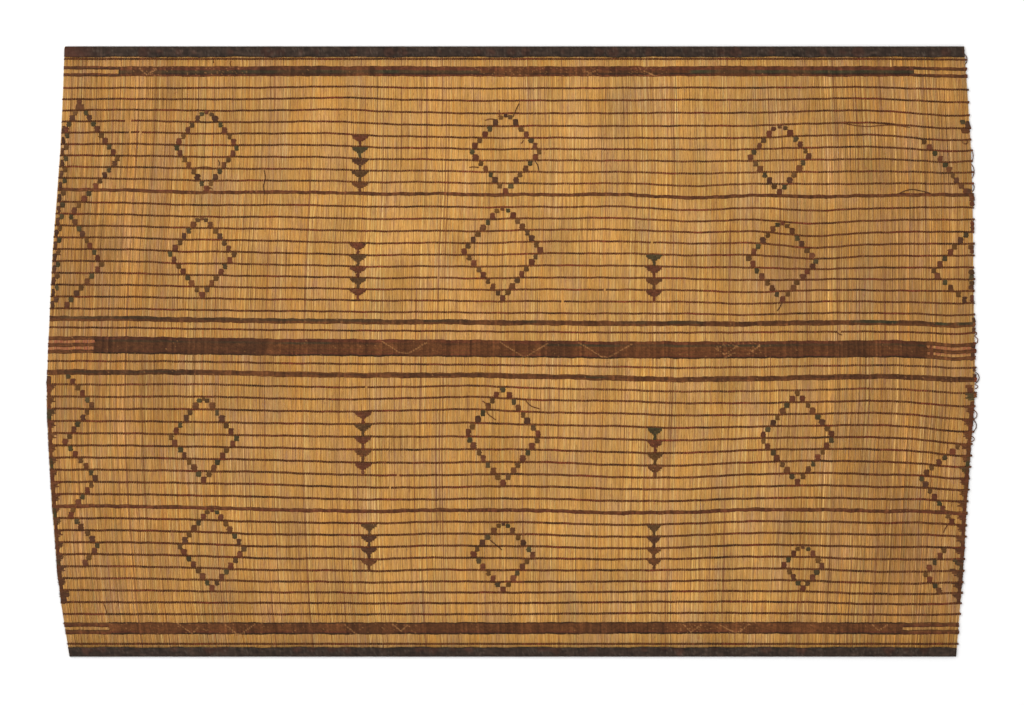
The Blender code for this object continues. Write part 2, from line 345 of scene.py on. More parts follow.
# Loose ends that lie on the mat: pixels across and down at their bends
LOOSE_ENDS = (
    ((513.0, 117.0), (516.0, 110.0), (519.0, 103.5)),
    ((485.0, 120.3), (490.0, 119.0), (495.0, 119.5)),
    ((499.5, 110.0), (499.3, 114.0), (500.0, 118.0)),
    ((535.0, 161.0), (537.5, 165.0), (539.0, 171.0)),
    ((469.0, 167.3), (474.0, 167.0), (479.0, 167.5)),
    ((523.5, 140.0), (522.5, 142.0), (521.0, 143.5)),
    ((264.0, 170.0), (265.5, 178.0), (263.5, 186.0), (265.0, 195.0)),
    ((482.0, 401.0), (489.0, 406.0), (487.0, 413.0), (496.0, 420.0)),
    ((525.0, 400.0), (531.0, 406.0), (540.0, 409.0)),
    ((490.0, 540.0), (496.0, 545.0), (502.0, 550.0)),
    ((836.0, 331.0), (839.0, 334.0), (842.0, 335.0)),
    ((192.0, 169.2), (199.0, 167.4), (207.0, 167.0), (215.0, 168.8)),
    ((218.0, 160.0), (219.5, 163.0), (219.0, 166.0)),
    ((206.0, 189.0), (209.0, 187.5), (213.0, 189.5)),
    ((840.0, 123.0), (865.0, 126.5), (890.0, 125.0), (910.0, 127.5)),
    ((898.0, 194.0), (905.0, 191.0), (912.0, 189.5), (921.0, 191.0), (931.0, 193.5)),
    ((962.0, 141.5), (965.0, 140.0), (968.0, 142.0), (965.5, 144.0), (962.5, 142.5)),
    ((948.0, 524.0), (945.5, 528.0), (943.0, 533.0)),
    ((213.0, 60.0), (213.5, 63.0)),
    ((231.0, 61.0), (230.0, 63.5), (231.0, 66.0)),
    ((102.5, 601.0), (105.0, 607.0), (107.0, 613.0)),
    ((777.0, 311.0), (780.0, 307.0), (782.0, 302.0)),
)


# Settings


def linear(hex_colour):
    """An sRGB hex colour as linear red, green and blue"""
    parts = np.array([int(hex_colour[i : i + 2], 16) for i in (1, 3, 5)]) / 255.0
    light = np.where(parts <= 0.04045, parts / 12.92, ((parts + 0.055) / 1.055) ** 2.4)
    return tuple(float(part) for part in light)


def colour(name, description, hex_colour):
    """A colour that the user may change"""
    return FloatVectorProperty(
        name=name,
        description=description,
        subtype="COLOR",
        size=3,
        min=0.0,
        max=1.0,
        default=linear(hex_colour),
    )


def length(name, description, metres):
    """A length that the user may change"""
    return FloatProperty(name=name, description=description, unit="LENGTH", min=0.0, default=metres)


class ReedSettings(bpy.types.PropertyGroup):
    """The stems: how many, how even, and their colours"""

    count: IntProperty(name="Stems", description="Stems side by side, an even number", default=886, min=2)
    steps: IntProperty(name="Steps", description="Steps along each stem", default=12, min=2)
    unevenness: FloatProperty(name="Unevenness", description="Spread of the widths", default=0.16, min=0.0)
    sway: length("Sway", "How far a stem strays from its line", 0.25 * MM)
    seed: IntProperty(name="Seed", description="Start of the random numbers", default=11)
    golden: colour("Golden", "Most of the stems", "#ca984f")
    pale: colour("Pale", "Stems that have faded least", "#d6ad63")
    ochre: colour("Ochre", "Stems with a warm skin", "#cd9446")
    # Brown: weathered stems, and the slim stems that are painted shade for the dark gaps between stems
    brown: colour("Brown", "Slim and weathered stems", "#9c6a38")
    stain: colour("Stain", "Where red dye has run into the stems", "#a0563d")


class ThongSettings(bpy.types.PropertyGroup):
    """The twined thongs: how their two strands lie, and their colours"""

    strand: FloatProperty(name="Strand", description="Strand's width as a share of the row", default=1.0)
    slant: FloatProperty(name="Slant", description="Slant of a stitch as a share of the row", default=0.1)
    thickness: length("Thickness", "Thickness of a strand", 0.9 * MM)
    width: length("Width", "Width of a twined row", 5.5 * MM)
    brown: colour("Brown", "Most of the thongs", "#62381f")
    black: colour("Black", "Lengths that have darkened with smoke and wear", "#4b2d1c")
    red: colour("Red", "Lengths that kept their red dye", "#6d3521")


class BandSettings(bpy.types.PropertyGroup):
    """The woven bands, stripes and blocks: relief and colours"""

    relief: length("Relief", "Depth between two twined rows", 0.75 * MM)
    brown: colour("Brown", "Most of the bands", "#683e20")
    red: colour("Red", "Leather dyed red", "#653620")
    green: colour("Green", "Lengths of the bands dyed green", "#413c26")
    olive: colour("Olive", "Blocks dyed green", "#453c22")
    maroon: colour("Maroon", "Darkest blocks", "#50311f")
    worn: colour("Worn", "What the dyes of the blocks fade to", "#5c4029")
    dark: colour("Dark", "Darkest lengths of the bands", "#3d2718")
    ochre: colour("Ochre", "Blocks dyed yellow brown", "#61401c")
    light: colour("Light", "Chevrons and freckles where the stems show through", "#b27c49")
    block: length("Block", "Width of a block", 15.0 * MM)
    raggedness: length("Raggedness", "How uneven a block's sides are", 1.0 * MM)


class EdgeSettings(bpy.types.PropertyGroup):
    """The bindings, whipped side edges and knots"""

    black: colour("Black", "Binding leather", "#33271f")
    red: colour("Red", "Binding leather where the dye shows", "#4f2b1e")
    waviness: length("Waviness", "How far a binding's inner edge strays", 1.1 * MM)
    turn: length("Turn", "From one turn of the whipping to the next", 4.4 * MM)
    knot: length("Knot", "How far a knot stands out at the right edge", 5.0 * MM)
    flush: length("Flush end", "How far a thong stands out at the left edge", 0.3 * MM)
    speck: colour("Speck", "Worn specks of the binding leather", "#6d6154")


class StageSettings(bpy.types.PropertyGroup):
    """The camera, lights and floor"""

    floor: colour("Floor", "Plain pale floor", "#fdfdfd")
    distance: length("Camera distance", "Height of the camera above the mat", 8.147)
    lens: FloatProperty(name="Lens", description="Focal length in millimetres", default=100.0, min=1.0)
    sky: FloatProperty(name="Sky", description="Strength of the even light", default=0.93, min=0.0)
    lamp: FloatProperty(name="Lamp", description="Power of the large lamp in watts", default=100.0, min=0.0)


class MatSettings(bpy.types.PropertyGroup):
    """All settings of the mat"""

    reed: PointerProperty(type=ReedSettings)
    thong: PointerProperty(type=ThongSettings)
    band: PointerProperty(type=BandSettings)
    edge: PointerProperty(type=EdgeSettings)
    stage: PointerProperty(type=StageSettings)


# The plain mat's lines

Row = namedtuple("Row", "name places heights width seed")


def smooth_through(places, values, at):
    """Smooth curve through the values at the places, read at one or more points: between two places it
    is the cubic that takes its slopes from their neighbours."""
    slopes = np.gradient(values, places)
    at = np.clip(at, places[0], places[-1])
    left = np.clip(np.searchsorted(places, at) - 1, 0, len(places) - 2)
    span = places[left + 1] - places[left]
    t = (at - places[left]) / span
    rise = 3 * t**2 - 2 * t**3
    start = values[left] * (1 - rise) + slopes[left] * span * (t**3 - 2 * t**2 + t)
    end = values[left + 1] * rise + slopes[left + 1] * span * (t**3 - t**2)
    return start + end


def smooth_step(low, high, at):
    """Rises smoothly from 0 at low to 1 at high"""
    t = np.clip((np.asarray(at, float) - low) / (high - low), 0.0, 1.0)
    return t * t * (3 - 2 * t)


def wander(at, seed, size, *lengths):
    """Slow wander: one sine for each wavelength, each with a seeded start, to about the given size"""
    starts = np.random.default_rng(seed).random(len(lengths))
    waves = [np.sin(2 * np.pi * (at / wave + start)) for wave, start in zip(lengths, starts)]
    return size * sum(waves) / math.sqrt(len(lengths))


def node_points(name):
    """Vertices of a plain piece"""
    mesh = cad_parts[name].data
    flat = np.empty(len(mesh.vertices) * 3)
    mesh.vertices.foreach_get("co", flat)
    return flat.reshape(-1, 3)


def clusters(points, axis, gap):
    """The points in groups along an axis, parted where the next is further on than the gap"""
    points = points[np.argsort(points[:, axis])]
    return np.split(points, np.flatnonzero(np.diff(points[:, axis]) > gap) + 1)


def read_side_edges():
    """Heights along the panel's side edges, and the left and the right edge's place at each"""
    groups = clusters(node_points("reed_panel"), 1, MM)
    heights = np.array([group[:, 1].mean() for group in groups])
    left = np.array([group[:, 0].min() for group in groups])
    right = np.array([group[:, 0].max() for group in groups])
    return heights, left, right


def read_row(name, seed):
    """A plain leather's line across the mat, its width, and a seed of its own"""
    points = node_points(name)
    upper = points[points[:, 2] > points[:, 2].max() - 0.3 * MM]
    groups = clusters(upper, 0, 3 * MM)
    places = np.array([group[:, 0].mean() for group in groups])
    heights = np.array([(group[:, 1].min() + group[:, 1].max()) / 2 for group in groups])
    width = float(np.median([np.ptp(group[:, 1]) for group in groups]))
    return Row(name, places, heights, width, seed)


EDGE_HEIGHTS, LEFT_EDGE, RIGHT_EDGE = read_side_edges()
PANEL_LOW, PANEL_HIGH = node_points("reed_panel")[:, 2].min(), node_points("reed_panel")[:, 2].max()
PANEL_LEVEL = (PANEL_LOW + PANEL_HIGH) / 2
# How far a woven band's ridges and a binding's face stand above the panel's face, and how thick the
# binding's leather is
BAND_RISE = 1.25 * MM
BINDING_RISE = 1.3 * MM
BINDING_LEATHER = 1.0 * MM
# Half thickness of a wrapped block and of a whipped or folded edge, over stems and thongs
WRAPPED_HALF = 2.55 * MM
EDGE_HALF = 2.9 * MM
# How near its row a missed stitch is looked for, and the radius of a loop or loose end
NEAR_ROW = 5 * MM
STRAND_RADIUS = 1.4 * MM
THONGS = [f"thong_{number:02d}" for number in range(1, 43)]
THICK_THONGS = ["thick_thong_upper", "thick_thong_lower"]
WOVEN = ["band_top", "band_centre", "band_bottom", "stripe_upper", "stripe_lower"]
ROWS = {name: read_row(name, seed) for seed, name in enumerate(THONGS + THICK_THONGS + WOVEN)}
LADDER = sorted(ROWS.values(), key=lambda row: -row.heights.mean())


def side_edge(side, height):
    """Place of the left (-1) or right (+1) side edge at a height along the stems"""
    return smooth_through(EDGE_HEIGHTS, LEFT_EDGE if side < 0 else RIGHT_EDGE, np.asarray(height, float))


def across(share, height):
    """Place at a share of the way from the left to the right edge, at a height along the stems"""
    left = side_edge(-1, height)
    return left + share * (side_edge(1, height) - left)


def share_at(place, height):
    """The share of the way across at a place"""
    left = side_edge(-1, height)
    return (place - left) / (side_edge(1, height) - left)


def place_at(pixel):
    """Place along the mat of a pixel across"""
    return (np.asarray(pixel, float) - MIDDLE_PIXEL[0]) * PIXEL


def height_at(pixel):
    """Height along the stems of a pixel down"""
    return (MIDDLE_PIXEL[1] - np.asarray(pixel, float)) * PIXEL


# How far a row wanders by itself, in which wavelengths, and how near a long edge it starts to run truer
ROW_WANDER = 0.6 * MM
ROW_WAVES = (0.23, 0.11, 0.06)
TRUE_EDGE = 0.20


def row_line(row, place):
    """Height of a row at a place: the plain leather's line, a small wander of its own, which is less near
    the long edges, where the rows run true, and the sags, each a bell in both directions."""
    place = np.asarray(place, float)
    line = smooth_through(row.places, row.heights, place)
    freedom = 0.4 + 0.6 * smooth_step(0.0, TRUE_EDGE, EDGE_HEIGHTS[-1] - abs(row.heights.mean()))
    drop = 0.0
    for pixel, down, wide, tall, most in SAGS:
        aside = (place - place_at(pixel)) / (wide * PIXEL)
        away = (line - height_at(down)) / (tall * PIXEL)
        drop = drop + most * PIXEL * np.exp(-2 * aside**2 - (away**2) ** 2)
    return line - drop + freedom * wander(place, row.seed + 100, ROW_WANDER, *ROW_WAVES)


def lay_shares(reed):
    """Edges of the stems as shares of the way across, and each stem's kind: 0 golden, 1 pale, 2 ochre and
    3 brown. Each width is the exponential of a bell curve, and a slim brown stem follows every 4 to 12.
    The slim brown stems are painted shade that stands for the dark gaps between stems."""
    random = np.random.default_rng(reed.seed)
    widths = np.exp(random.normal(0.0, reed.unevenness, reed.count))
    # The slim brown stems are painted shade for the dark gaps between stems
    slim_gap_shade = np.cumsum(random.integers(4, 13, reed.count))
    slim_gap_shade = slim_gap_shade[slim_gap_shade < reed.count]
    kinds = random.choice(4, reed.count, p=(0.60, 0.20, 0.17, 0.03))
    kinds[slim_gap_shade] = 3
    widths[slim_gap_shade] *= 0.55
    edges = np.concatenate([[0.0], np.cumsum(widths)])
    return edges / edges[-1], kinds


def weathering(place, height):
    """How much of the colour's light is left: less towards both side edges and in the worn stains"""
    light = 1.0
    for side, start, end, depth in WEATHERED_SIDES:
        light = light * (1 - depth * smooth_step(start, end, side * place))
    for pixel, down, wide, tall, depth in STAINS:
        away = np.hypot((place - place_at(pixel)) / wide, (height - height_at(down)) / tall) / PIXEL
        light = light * (1 - depth * (1 - smooth_step(0.2, 1.0, away)))
    return light


# Meshes


def mix(first, second, amount):
    """Colours between the first and the second, by amounts from 0 to 1"""
    amount = np.clip(np.asarray(amount, float), 0.0, 1.0)[..., None]
    return np.asarray(first, float) * (1 - amount) + np.asarray(second, float) * amount


# Gaps round a strip on the piece's own map, and how far a strip's end bulges there
MAP_INSET = 0.0009
MAP_SIDE_INSET = 0.0012
MAP_BULGE = 0.0006


def strip_corners(tubes, rings, sides, folds, columns, low, high):
    """Places on the piece's own map of the corners of a block's side faces and of its ends. Each tube is
    slit along one side and laid flat as a strip. A long one is folded into several, short ones stand in
    columns, and the strips fill the map's height between low and high."""
    steps = rings - 1
    per = -(-steps // folds)
    shelves = -(-tubes * folds // columns)
    inset = min(0.1, MAP_INSET * shelves / (high - low))
    side_inset = MAP_SIDE_INSET * columns
    tube, step, side = np.meshgrid(np.arange(tubes), np.arange(steps), np.arange(sides), indexing="ij")
    strip = tube * folds + step // per
    ahead = np.array([0, 0, 1, 1])
    round_ = np.array([0, 1, 1, 0])
    u = (step % per)[..., None] + ahead
    v = (side[..., None] + round_) / sides
    u = (strip[..., None] % columns + side_inset + u / per * (1 - 2 * side_inset)) / columns
    v = low + (high - low) * (strip[..., None] // columns + inset + v * (1 - 2 * inset)) / shelves
    quads = np.stack([u, v], axis=-1).reshape(-1, 2)
    bulge = np.sin(np.pi * np.arange(sides) / (sides - 1)) * MAP_BULGE
    flat = (np.arange(sides) + 0.5) / sides
    first = np.arange(tubes) * folds
    last = first + (steps - 1) // per
    ends = []
    for strips, at, out, order in ((first, 0, -1, -1), (last, ((steps - 1) % per + 1) / per, 1, 1)):
        u = (strips[:, None] % columns + side_inset + at * (1 - 2 * side_inset)) / columns
        u = u + out * bulge[::order]
        v = strips[:, None] // columns + inset + flat[::order] * (1 - 2 * inset)
        v = low + (high - low) * v / shelves
        ends.append(np.stack([u, v], axis=-1).reshape(-1, 2))
    return quads, np.concatenate(ends)


def tube_faces(points):
    """Faces of tubes given as points[tube, ring, side]: a quad from each side to the next ring, and a flat
    face over each end. Seen from the path's far end, the sides go round anticlockwise."""
    tubes, rings, sides = points.shape[:3]
    index = np.arange(tubes * rings * sides).reshape(tubes, rings, sides)
    round_ = np.roll(index, -1, axis=2)
    quads = np.stack([index[:, :-1], round_[:, :-1], round_[:, 1:], index[:, 1:]], axis=-1)
    ends = np.concatenate([index[:, 0, ::-1], index[:, -1]])
    return quads.reshape(-1, 4), ends


def place_new(name, data):
    """A new object in the scene"""
    new = bpy.data.objects.new(name, data)
    bpy.context.scene.collection.objects.link(new)
    return new


def make_piece(name, blocks, material):
    """One object from blocks of closed tubes. A block is (points, dye), with points[tube, ring, side] and
    a linear colour for each. The dye goes into the attribute that the finish reads, and each tube gets
    its own strip of the map, in proportion to its surface."""
    areas, spans = [], []
    for points, _ in blocks:
        girth = np.linalg.norm(np.roll(points, -1, axis=2) - points, axis=-1).sum(axis=2).mean()
        span = np.linalg.norm(np.diff(points.mean(axis=2), axis=1), axis=-1).sum(axis=1).mean()
        areas.append(points.shape[0] * (girth + MM) * (span + MM))
        spans.append(span + MM)
    total = sum(areas)
    tops = np.cumsum([0.0] + areas) / total
    places, dyes, corners, starts, maps = [], [], [], [], []
    vertex = corner = 0
    for (points, dye), low, high, span in zip(blocks, tops[:-1], tops[1:], spans):
        tubes, rings, sides = points.shape[:3]
        ratio = math.sqrt(total) / span
        folds = 1 if ratio >= 1 else math.ceil(1 / ratio)
        columns = min(max(int(ratio), 1), tubes)
        quad_map, end_map = strip_corners(tubes, rings, sides, folds, columns, low, high)
        for faces, face_map in zip(tube_faces(points), (quad_map, end_map)):
            corners.append(faces.ravel() + vertex)
            starts.append(corner + np.arange(len(faces)) * faces.shape[1])
            maps.append(face_map)
            corner += faces.size
        vertex += tubes * rings * sides
        places.append(points.reshape(-1, 3))
        dyes.append(np.broadcast_to(dye, points.shape).reshape(-1, 3))
    places, dyes, maps = np.concatenate(places), np.concatenate(dyes), np.concatenate(maps)
    corners, starts = np.concatenate(corners), np.concatenate(starts)
    mesh = bpy.data.meshes.new(name)
    mesh.vertices.add(len(places))
    mesh.vertices.foreach_set("co", places.ravel())
    mesh.loops.add(len(corners))
    mesh.loops.foreach_set("vertex_index", corners.astype(np.int32))
    mesh.polygons.add(len(starts))
    mesh.polygons.foreach_set("loop_start", starts.astype(np.int32))
    mesh.polygons.foreach_set("use_smooth", np.ones(len(starts), bool))
    attribute = mesh.attributes.new("dye", "FLOAT_COLOR", "POINT")
    attribute.data.foreach_set("color", np.hstack([dyes, np.ones((len(dyes), 1))]).ravel())
    strip_map = mesh.uv_layers.new(name="OFBake")
    strip_map.data.foreach_set("uv", maps.ravel())
    mesh.update(calc_edges=True)
    mesh.validate()
    mesh.materials.append(material)
    piece = place_new(name, mesh)
    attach(piece, "root")
    return piece


# Finishes


def add_node(tree, kind, inputs=None, **settings):
    """Adds a node with its settings, and gives each named input a value or the output that feeds it"""
    node = tree.nodes.new(kind)
    for name, value in settings.items():
        setattr(node, name, value)
    for socket, value in (inputs or {}).items():
        if isinstance(value, bpy.types.NodeSocket):
            tree.links.new(value, node.inputs[socket])
        else:
            node.inputs[socket].default_value = value
    return node


def start_finish(name):
    """A new material, its node tree and its shader"""
    material = bpy.data.materials.new(name)
    material.use_nodes = True
    shader = material.node_tree.nodes["Principled BSDF"]
    return material, material.node_tree, shader


def grain(tree, size, detail=2.0, roughness=0.5):
    """Noise whose spots are about as large as size, given in metres along X, Y and Z"""
    place = add_node(tree, "ShaderNodeTexCoord").outputs["Object"]
    scale = tuple(1.0 / part for part in size)
    spot = add_node(tree, "ShaderNodeMapping", {"Vector": place, "Scale": scale})
    sizes = {"Vector": spot.outputs["Vector"], "Scale": 1.0, "Detail": detail, "Roughness": roughness}
    return add_node(tree, "ShaderNodeTexNoise", sizes).outputs["Fac"]


def vary(tree, base, pattern, levels, other=None):
    """A colour that varies with a pattern. As that goes from the first level to the second, a strength goes
    from the third to the fourth. It multiplies the colour, or mixes it with the other colour."""
    ends = dict(zip(("From Min", "From Max", "To Min", "To Max"), levels))
    strength = add_node(tree, "ShaderNodeMapRange", {"Value": pattern, **ends}).outputs["Result"]
    if other is None:
        return add_node(tree, "ShaderNodeVectorMath", {0: base, 1: strength}, operation="MULTIPLY").outputs[0]
    # A mix of two colours has its factor and the colours at sockets 0, 6 and 7, and its result at 2
    sockets = {0: strength, 6: base, 7: (*other, 1.0)}
    return add_node(tree, "ShaderNodeMix", sockets, data_type="RGBA").outputs[2]


def dry_grass_stem(settings):
    """Dried grass stems, split from the clump and laid with their skin on: a hard straw skin with a soft
    shine, fine fibres along it, longer blotches, short brown scars and here and there run dye."""
    material, tree, shader = start_finish("dry_grass_stem")
    dye = add_node(tree, "ShaderNodeAttribute", attribute_name="dye").outputs["Color"]
    # Fibres 0.5 mm wide and 40 mm long, which show from near
    fibre = grain(tree, (0.5 * MM, 40 * MM, 0.8 * MM), 3.0, 0.6)
    skin = vary(tree, dye, fibre, (0.3, 0.7, 0.78, 1.19))
    # Blotches 1.9 mm wide and 60 mm long, red brown where a stem has weathered and pale where it has not
    blotch = grain(tree, (1.9 * MM, 60 * MM, 9 * MM), 1.0, 0.5)
    skin = vary(tree, skin, blotch, (0.3, 0.7, 0.87, 1.145))
    skin = vary(tree, skin, blotch, (0.28, 0.5, 0.32, 0.0), linear("#8a5434"))
    skin = vary(tree, skin, blotch, (0.52, 0.72, 0.0, 0.2), linear("#dcb986"))
    # Lengths 7 mm wide and 55 mm long that have turned a dull pinkish brown
    dull = grain(tree, (7 * MM, 55 * MM, 20 * MM), 2.0, 0.6)
    skin = vary(tree, skin, dull, (0.52, 0.68, 0.0, 0.38), linear("#a97a58"))
    # Patches 80 mm wide, where the stems have greyed or kept their gold, and stains 130 mm wide from use
    patch = grain(tree, (80 * MM, 130 * MM, 100 * MM), 2.0, 0.5)
    hue = vary(tree, (1.0, 1.0, 1.0, 1.0), patch, (0.5, 0.7, 0.0, 1.0), (0.98, 1.0, 1.26))
    hue = vary(tree, hue, patch, (0.3, 0.5, 1.0, 0.0), (1.03, 0.98, 0.83))
    skin = add_node(tree, "ShaderNodeVectorMath", {0: skin, 1: hue}, operation="MULTIPLY").outputs[0]
    stain = grain(tree, (130 * MM, 200 * MM, 160 * MM), 2.0, 0.5)
    skin = vary(tree, skin, stain, (0.3, 0.7, 0.86, 1.13))
    # Scars 1.6 mm wide and 14 mm long
    scar = grain(tree, (1.6 * MM, 14 * MM, 6 * MM), 1.0, 0.5)
    skin = vary(tree, skin, scar, (0.68, 0.76, 0.0, 0.6), linear("#5f3a1e"))
    # Red dye that has run, in spots 3.5 mm wide and 12 mm long, and between the centre band's open ends
    run = grain(tree, (3.5 * MM, 12 * MM, 9 * MM), 1.0, 0.5)
    skin = vary(tree, skin, run, (0.63, 0.74, 0.0, 0.35), settings.stain)
    skin = vary(tree, skin, stained_ends(tree), (0.0, 1.0, 0.0, 1.0), settings.stain)
    tree.links.new(skin, shader.inputs["Base Color"])
    shader.inputs["Roughness"].default_value = 0.55
    shader.inputs["IOR"].default_value = 1.45
    shader.inputs["Specular IOR Level"].default_value = 0.25
    relief = {"Height": fibre, "Strength": 0.35, "Distance": 0.15 * MM}
    tree.links.new(add_node(tree, "ShaderNodeBump", relief).outputs["Normal"], shader.inputs["Normal"])
    return material


def stained_ends(tree):
    """How much red has run into the stems between the centre band's open ends: full within 14 mm of the
    straight line from end to end and gone at 19 mm, from none at 1.10 m out to full at 1.18 m, and broken up
    by spots 6 mm wide."""
    place = add_node(tree, "ShaderNodeTexCoord").outputs["Object"]
    parts = add_node(tree, "ShaderNodeSeparateXYZ", {"Vector": place}).outputs
    row = ROWS["band_centre"]
    slope = float((row.heights[-1] - row.heights[0]) / (row.places[-1] - row.places[0]))
    start = float(row.heights[0] - slope * row.places[0])
    line = {0: parts["X"], 1: slope, 2: start}
    line = add_node(tree, "ShaderNodeMath", line, operation="MULTIPLY_ADD").outputs[0]
    off = add_node(tree, "ShaderNodeMath", {0: parts["Y"], 1: line}, operation="SUBTRACT").outputs[0]
    off = add_node(tree, "ShaderNodeMath", {0: off}, operation="ABSOLUTE").outputs[0]
    out = add_node(tree, "ShaderNodeMath", {0: parts["X"]}, operation="ABSOLUTE").outputs[0]
    amount = vary(tree, (1.0, 1.0, 1.0), off, (0.014, 0.019, 1.0, 0.0))
    amount = vary(tree, amount, out, (1.10, 1.18, 0.0, 1.0))
    return vary(tree, amount, grain(tree, (6 * MM, 60 * MM, 20 * MM)), (0.35, 0.62, 0.3, 0.75))


def dyed_goat_leather():
    """Goat leather, dyed, cut in narrow thongs and worn: a fine pebbled grain, patches where the dye has
    faded or darkened, and a dull shine on the raised parts."""
    material, tree, shader = start_finish("dyed_goat_leather")
    dye = add_node(tree, "ShaderNodeAttribute", attribute_name="dye").outputs["Color"]
    # Grain of 0.7 mm
    pebble = grain(tree, (0.7 * MM, 0.7 * MM, 0.7 * MM), 2.0, 0.6)
    hide = vary(tree, dye, pebble, (0.3, 0.7, 0.80, 1.20))
    # Patches of 12 by 7 mm, and broader ones of 60 by 30 mm
    patch = grain(tree, (12 * MM, 7 * MM, 9 * MM), 2.0, 0.6)
    hide = vary(tree, hide, patch, (0.3, 0.7, 0.80, 1.22))
    broad = grain(tree, (60 * MM, 30 * MM, 40 * MM), 1.0, 0.5)
    hide = vary(tree, hide, broad, (0.3, 0.7, 0.86, 1.14))
    tree.links.new(hide, shader.inputs["Base Color"])
    shader.inputs["Roughness"].default_value = 0.62
    shader.inputs["Specular IOR Level"].default_value = 0.12
    relief = {"Height": pebble, "Strength": 0.4, "Distance": 0.2 * MM}
    tree.links.new(add_node(tree, "ShaderNodeBump", relief).outputs["Normal"], shader.inputs["Normal"])
    return material


def leather_finish():
    """The leather of all thongs, bands and bindings, made once"""
    return bpy.data.materials.get("dyed_goat_leather") or dyed_goat_leather()


# Stems

# A stem's width as a share of its room, so that neighbours touch, and its thickness as a share of its width
STEM_OVERLAP = 1.08
STEM_THICKNESS = 1.05
# Least and most half thickness of a stem, and how unevenly the stems lie
STEM_HALVES = (0.8 * MM, 1.75 * MM)
STEM_UNEVENNESS = 0.07 * MM
SWAY_WAVES = (0.71, 0.29)
# Powers of the weathering's light in red, green and blue: weathered stems turn browner
WEATHERED_POWERS = (0.90, 1.08, 1.16)


def stem_tubes(chosen, edges, reed, base):
    """The chosen stems: a flattened hexagon carried along Y. Its middle follows the side edges in
    proportion, plus a slow sway of its own, and its width is a little more than its share, so that
    neighbours touch."""
    random = np.random.default_rng(reed.seed + int(chosen[0]))
    heights = np.linspace(EDGE_HEIGHTS[0], EDGE_HEIGHTS[-1], reed.steps + 1)
    left = side_edge(-1, heights)
    span = side_edge(1, heights) - left
    middle = (edges[chosen] + edges[chosen + 1])[:, None] / 2
    half = (edges[chosen + 1] - edges[chosen])[:, None] / 2 * span * STEM_OVERLAP
    starts = random.random((2, len(chosen), 1))
    sway = sum(np.sin(2 * np.pi * (heights / wave + start)) for wave, start in zip(SWAY_WAVES, starts))
    x = left + middle * span + reed.sway * sway
    thick = np.clip(half * STEM_THICKNESS, *STEM_HALVES)
    level = PANEL_LEVEL + random.normal(0.0, STEM_UNEVENNESS, (len(chosen), 1, 1))
    turn = np.radians(30.0 + 60.0 * np.arange(6))
    points = np.empty((len(chosen), len(heights), 6, 3))
    points[..., 0] = x[..., None] + half[..., None] * np.sin(turn)
    points[..., 1] = heights[None, :, None]
    points[..., 2] = level + thick[..., None] * np.cos(turn)
    differ = 0.035 + 0.11 * smooth_step(0.5, 1.2, np.abs(x))
    tone = np.exp(random.normal(0.0, 1.0, (len(chosen), 1)) * differ)
    start, wave = random.random((2, len(chosen), 1)), random.uniform(0.4, 1.0, (len(chosen), 1))
    tone = tone * (1 + 0.05 * np.sin(2 * np.pi * (heights / 0.6 + start[0])))
    fading = np.sin(2 * np.pi * (heights / wave + start[1]))
    skin = mix(base, reed.golden, 0.85 * smooth_step(-0.6, 0.7, fading)) * tone[..., None]
    light = weathering(x, heights[None])[..., None] ** np.array(WEATHERED_POWERS)
    dye = (skin * light)[:, :, None, :]
    return points, np.clip(dye, 0.0, 1.0)


def lay_stems(settings):
    """All stems in bundles of one colour each, so that no bundle is too large"""
    reed = settings.reed
    edges, kinds = lay_shares(reed)
    finish = dry_grass_stem(reed)
    # The brown bundles hold weathered stems and the slim ones that are painted shade for the gaps between
    # stems
    bundles = (("golden", 4), ("pale", 2), ("ochre", 2), ("brown", 2))
    for kind, (word, parts) in enumerate(bundles):
        stems = np.flatnonzero(kinds == kind)
        for part in range(parts):
            chosen = stems[part::parts]
            block = stem_tubes(chosen, edges, reed, getattr(reed, word))
            piece = make_piece(f"stems_{word}_{part + 1}", [block], finish)
            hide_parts("reed_panel")


# Twined thongs

# Tone of the thin thongs where they have faded least, what fading adds to it at most, and the middle and
# the reach of the faded place along X and Y
THONG_TONE = 0.88
THONG_FADING = 0.46
FADED_MIDDLE = (0.3, 0.2)
FADED_REACH = (0.75, 0.6)
# Where a strand bends, as shares of the way over a pair of stems, and its gap to the panel
BENDS = (0.12, 0.88)
STRAND_GAP = 0.1 * MM
# Width of a loose thong as a share of a tight one's, and the heights where it is loose and where tight
LOOSE_WIDTH = 1.12
LOOSE_HEIGHTS = (-0.45, 0.15)


def thong_colour(place, seed, thong):
    """Leather's colour along a thong: brown, with lengths that are black or red, by two slow wanders"""
    black = smooth_step(0.5, 1.6, wander(place, seed + 300, 1.0, 0.71, 0.33, 0.12))
    red = smooth_step(0.4, 1.3, wander(place, seed + 600, 1.0, 0.53, 0.19))
    return mix(mix(thong.brown, thong.red, red), thong.black, black)


def thong_fade(place, height):
    """How the thin thongs have faded: a bell of light, right of the middle and low in the upper field"""
    along = (place - FADED_MIDDLE[0]) / FADED_REACH[0]
    up = (height - FADED_MIDDLE[1]) / FADED_REACH[1]
    return THONG_TONE + THONG_FADING * np.exp(-(along**2) - up**2)


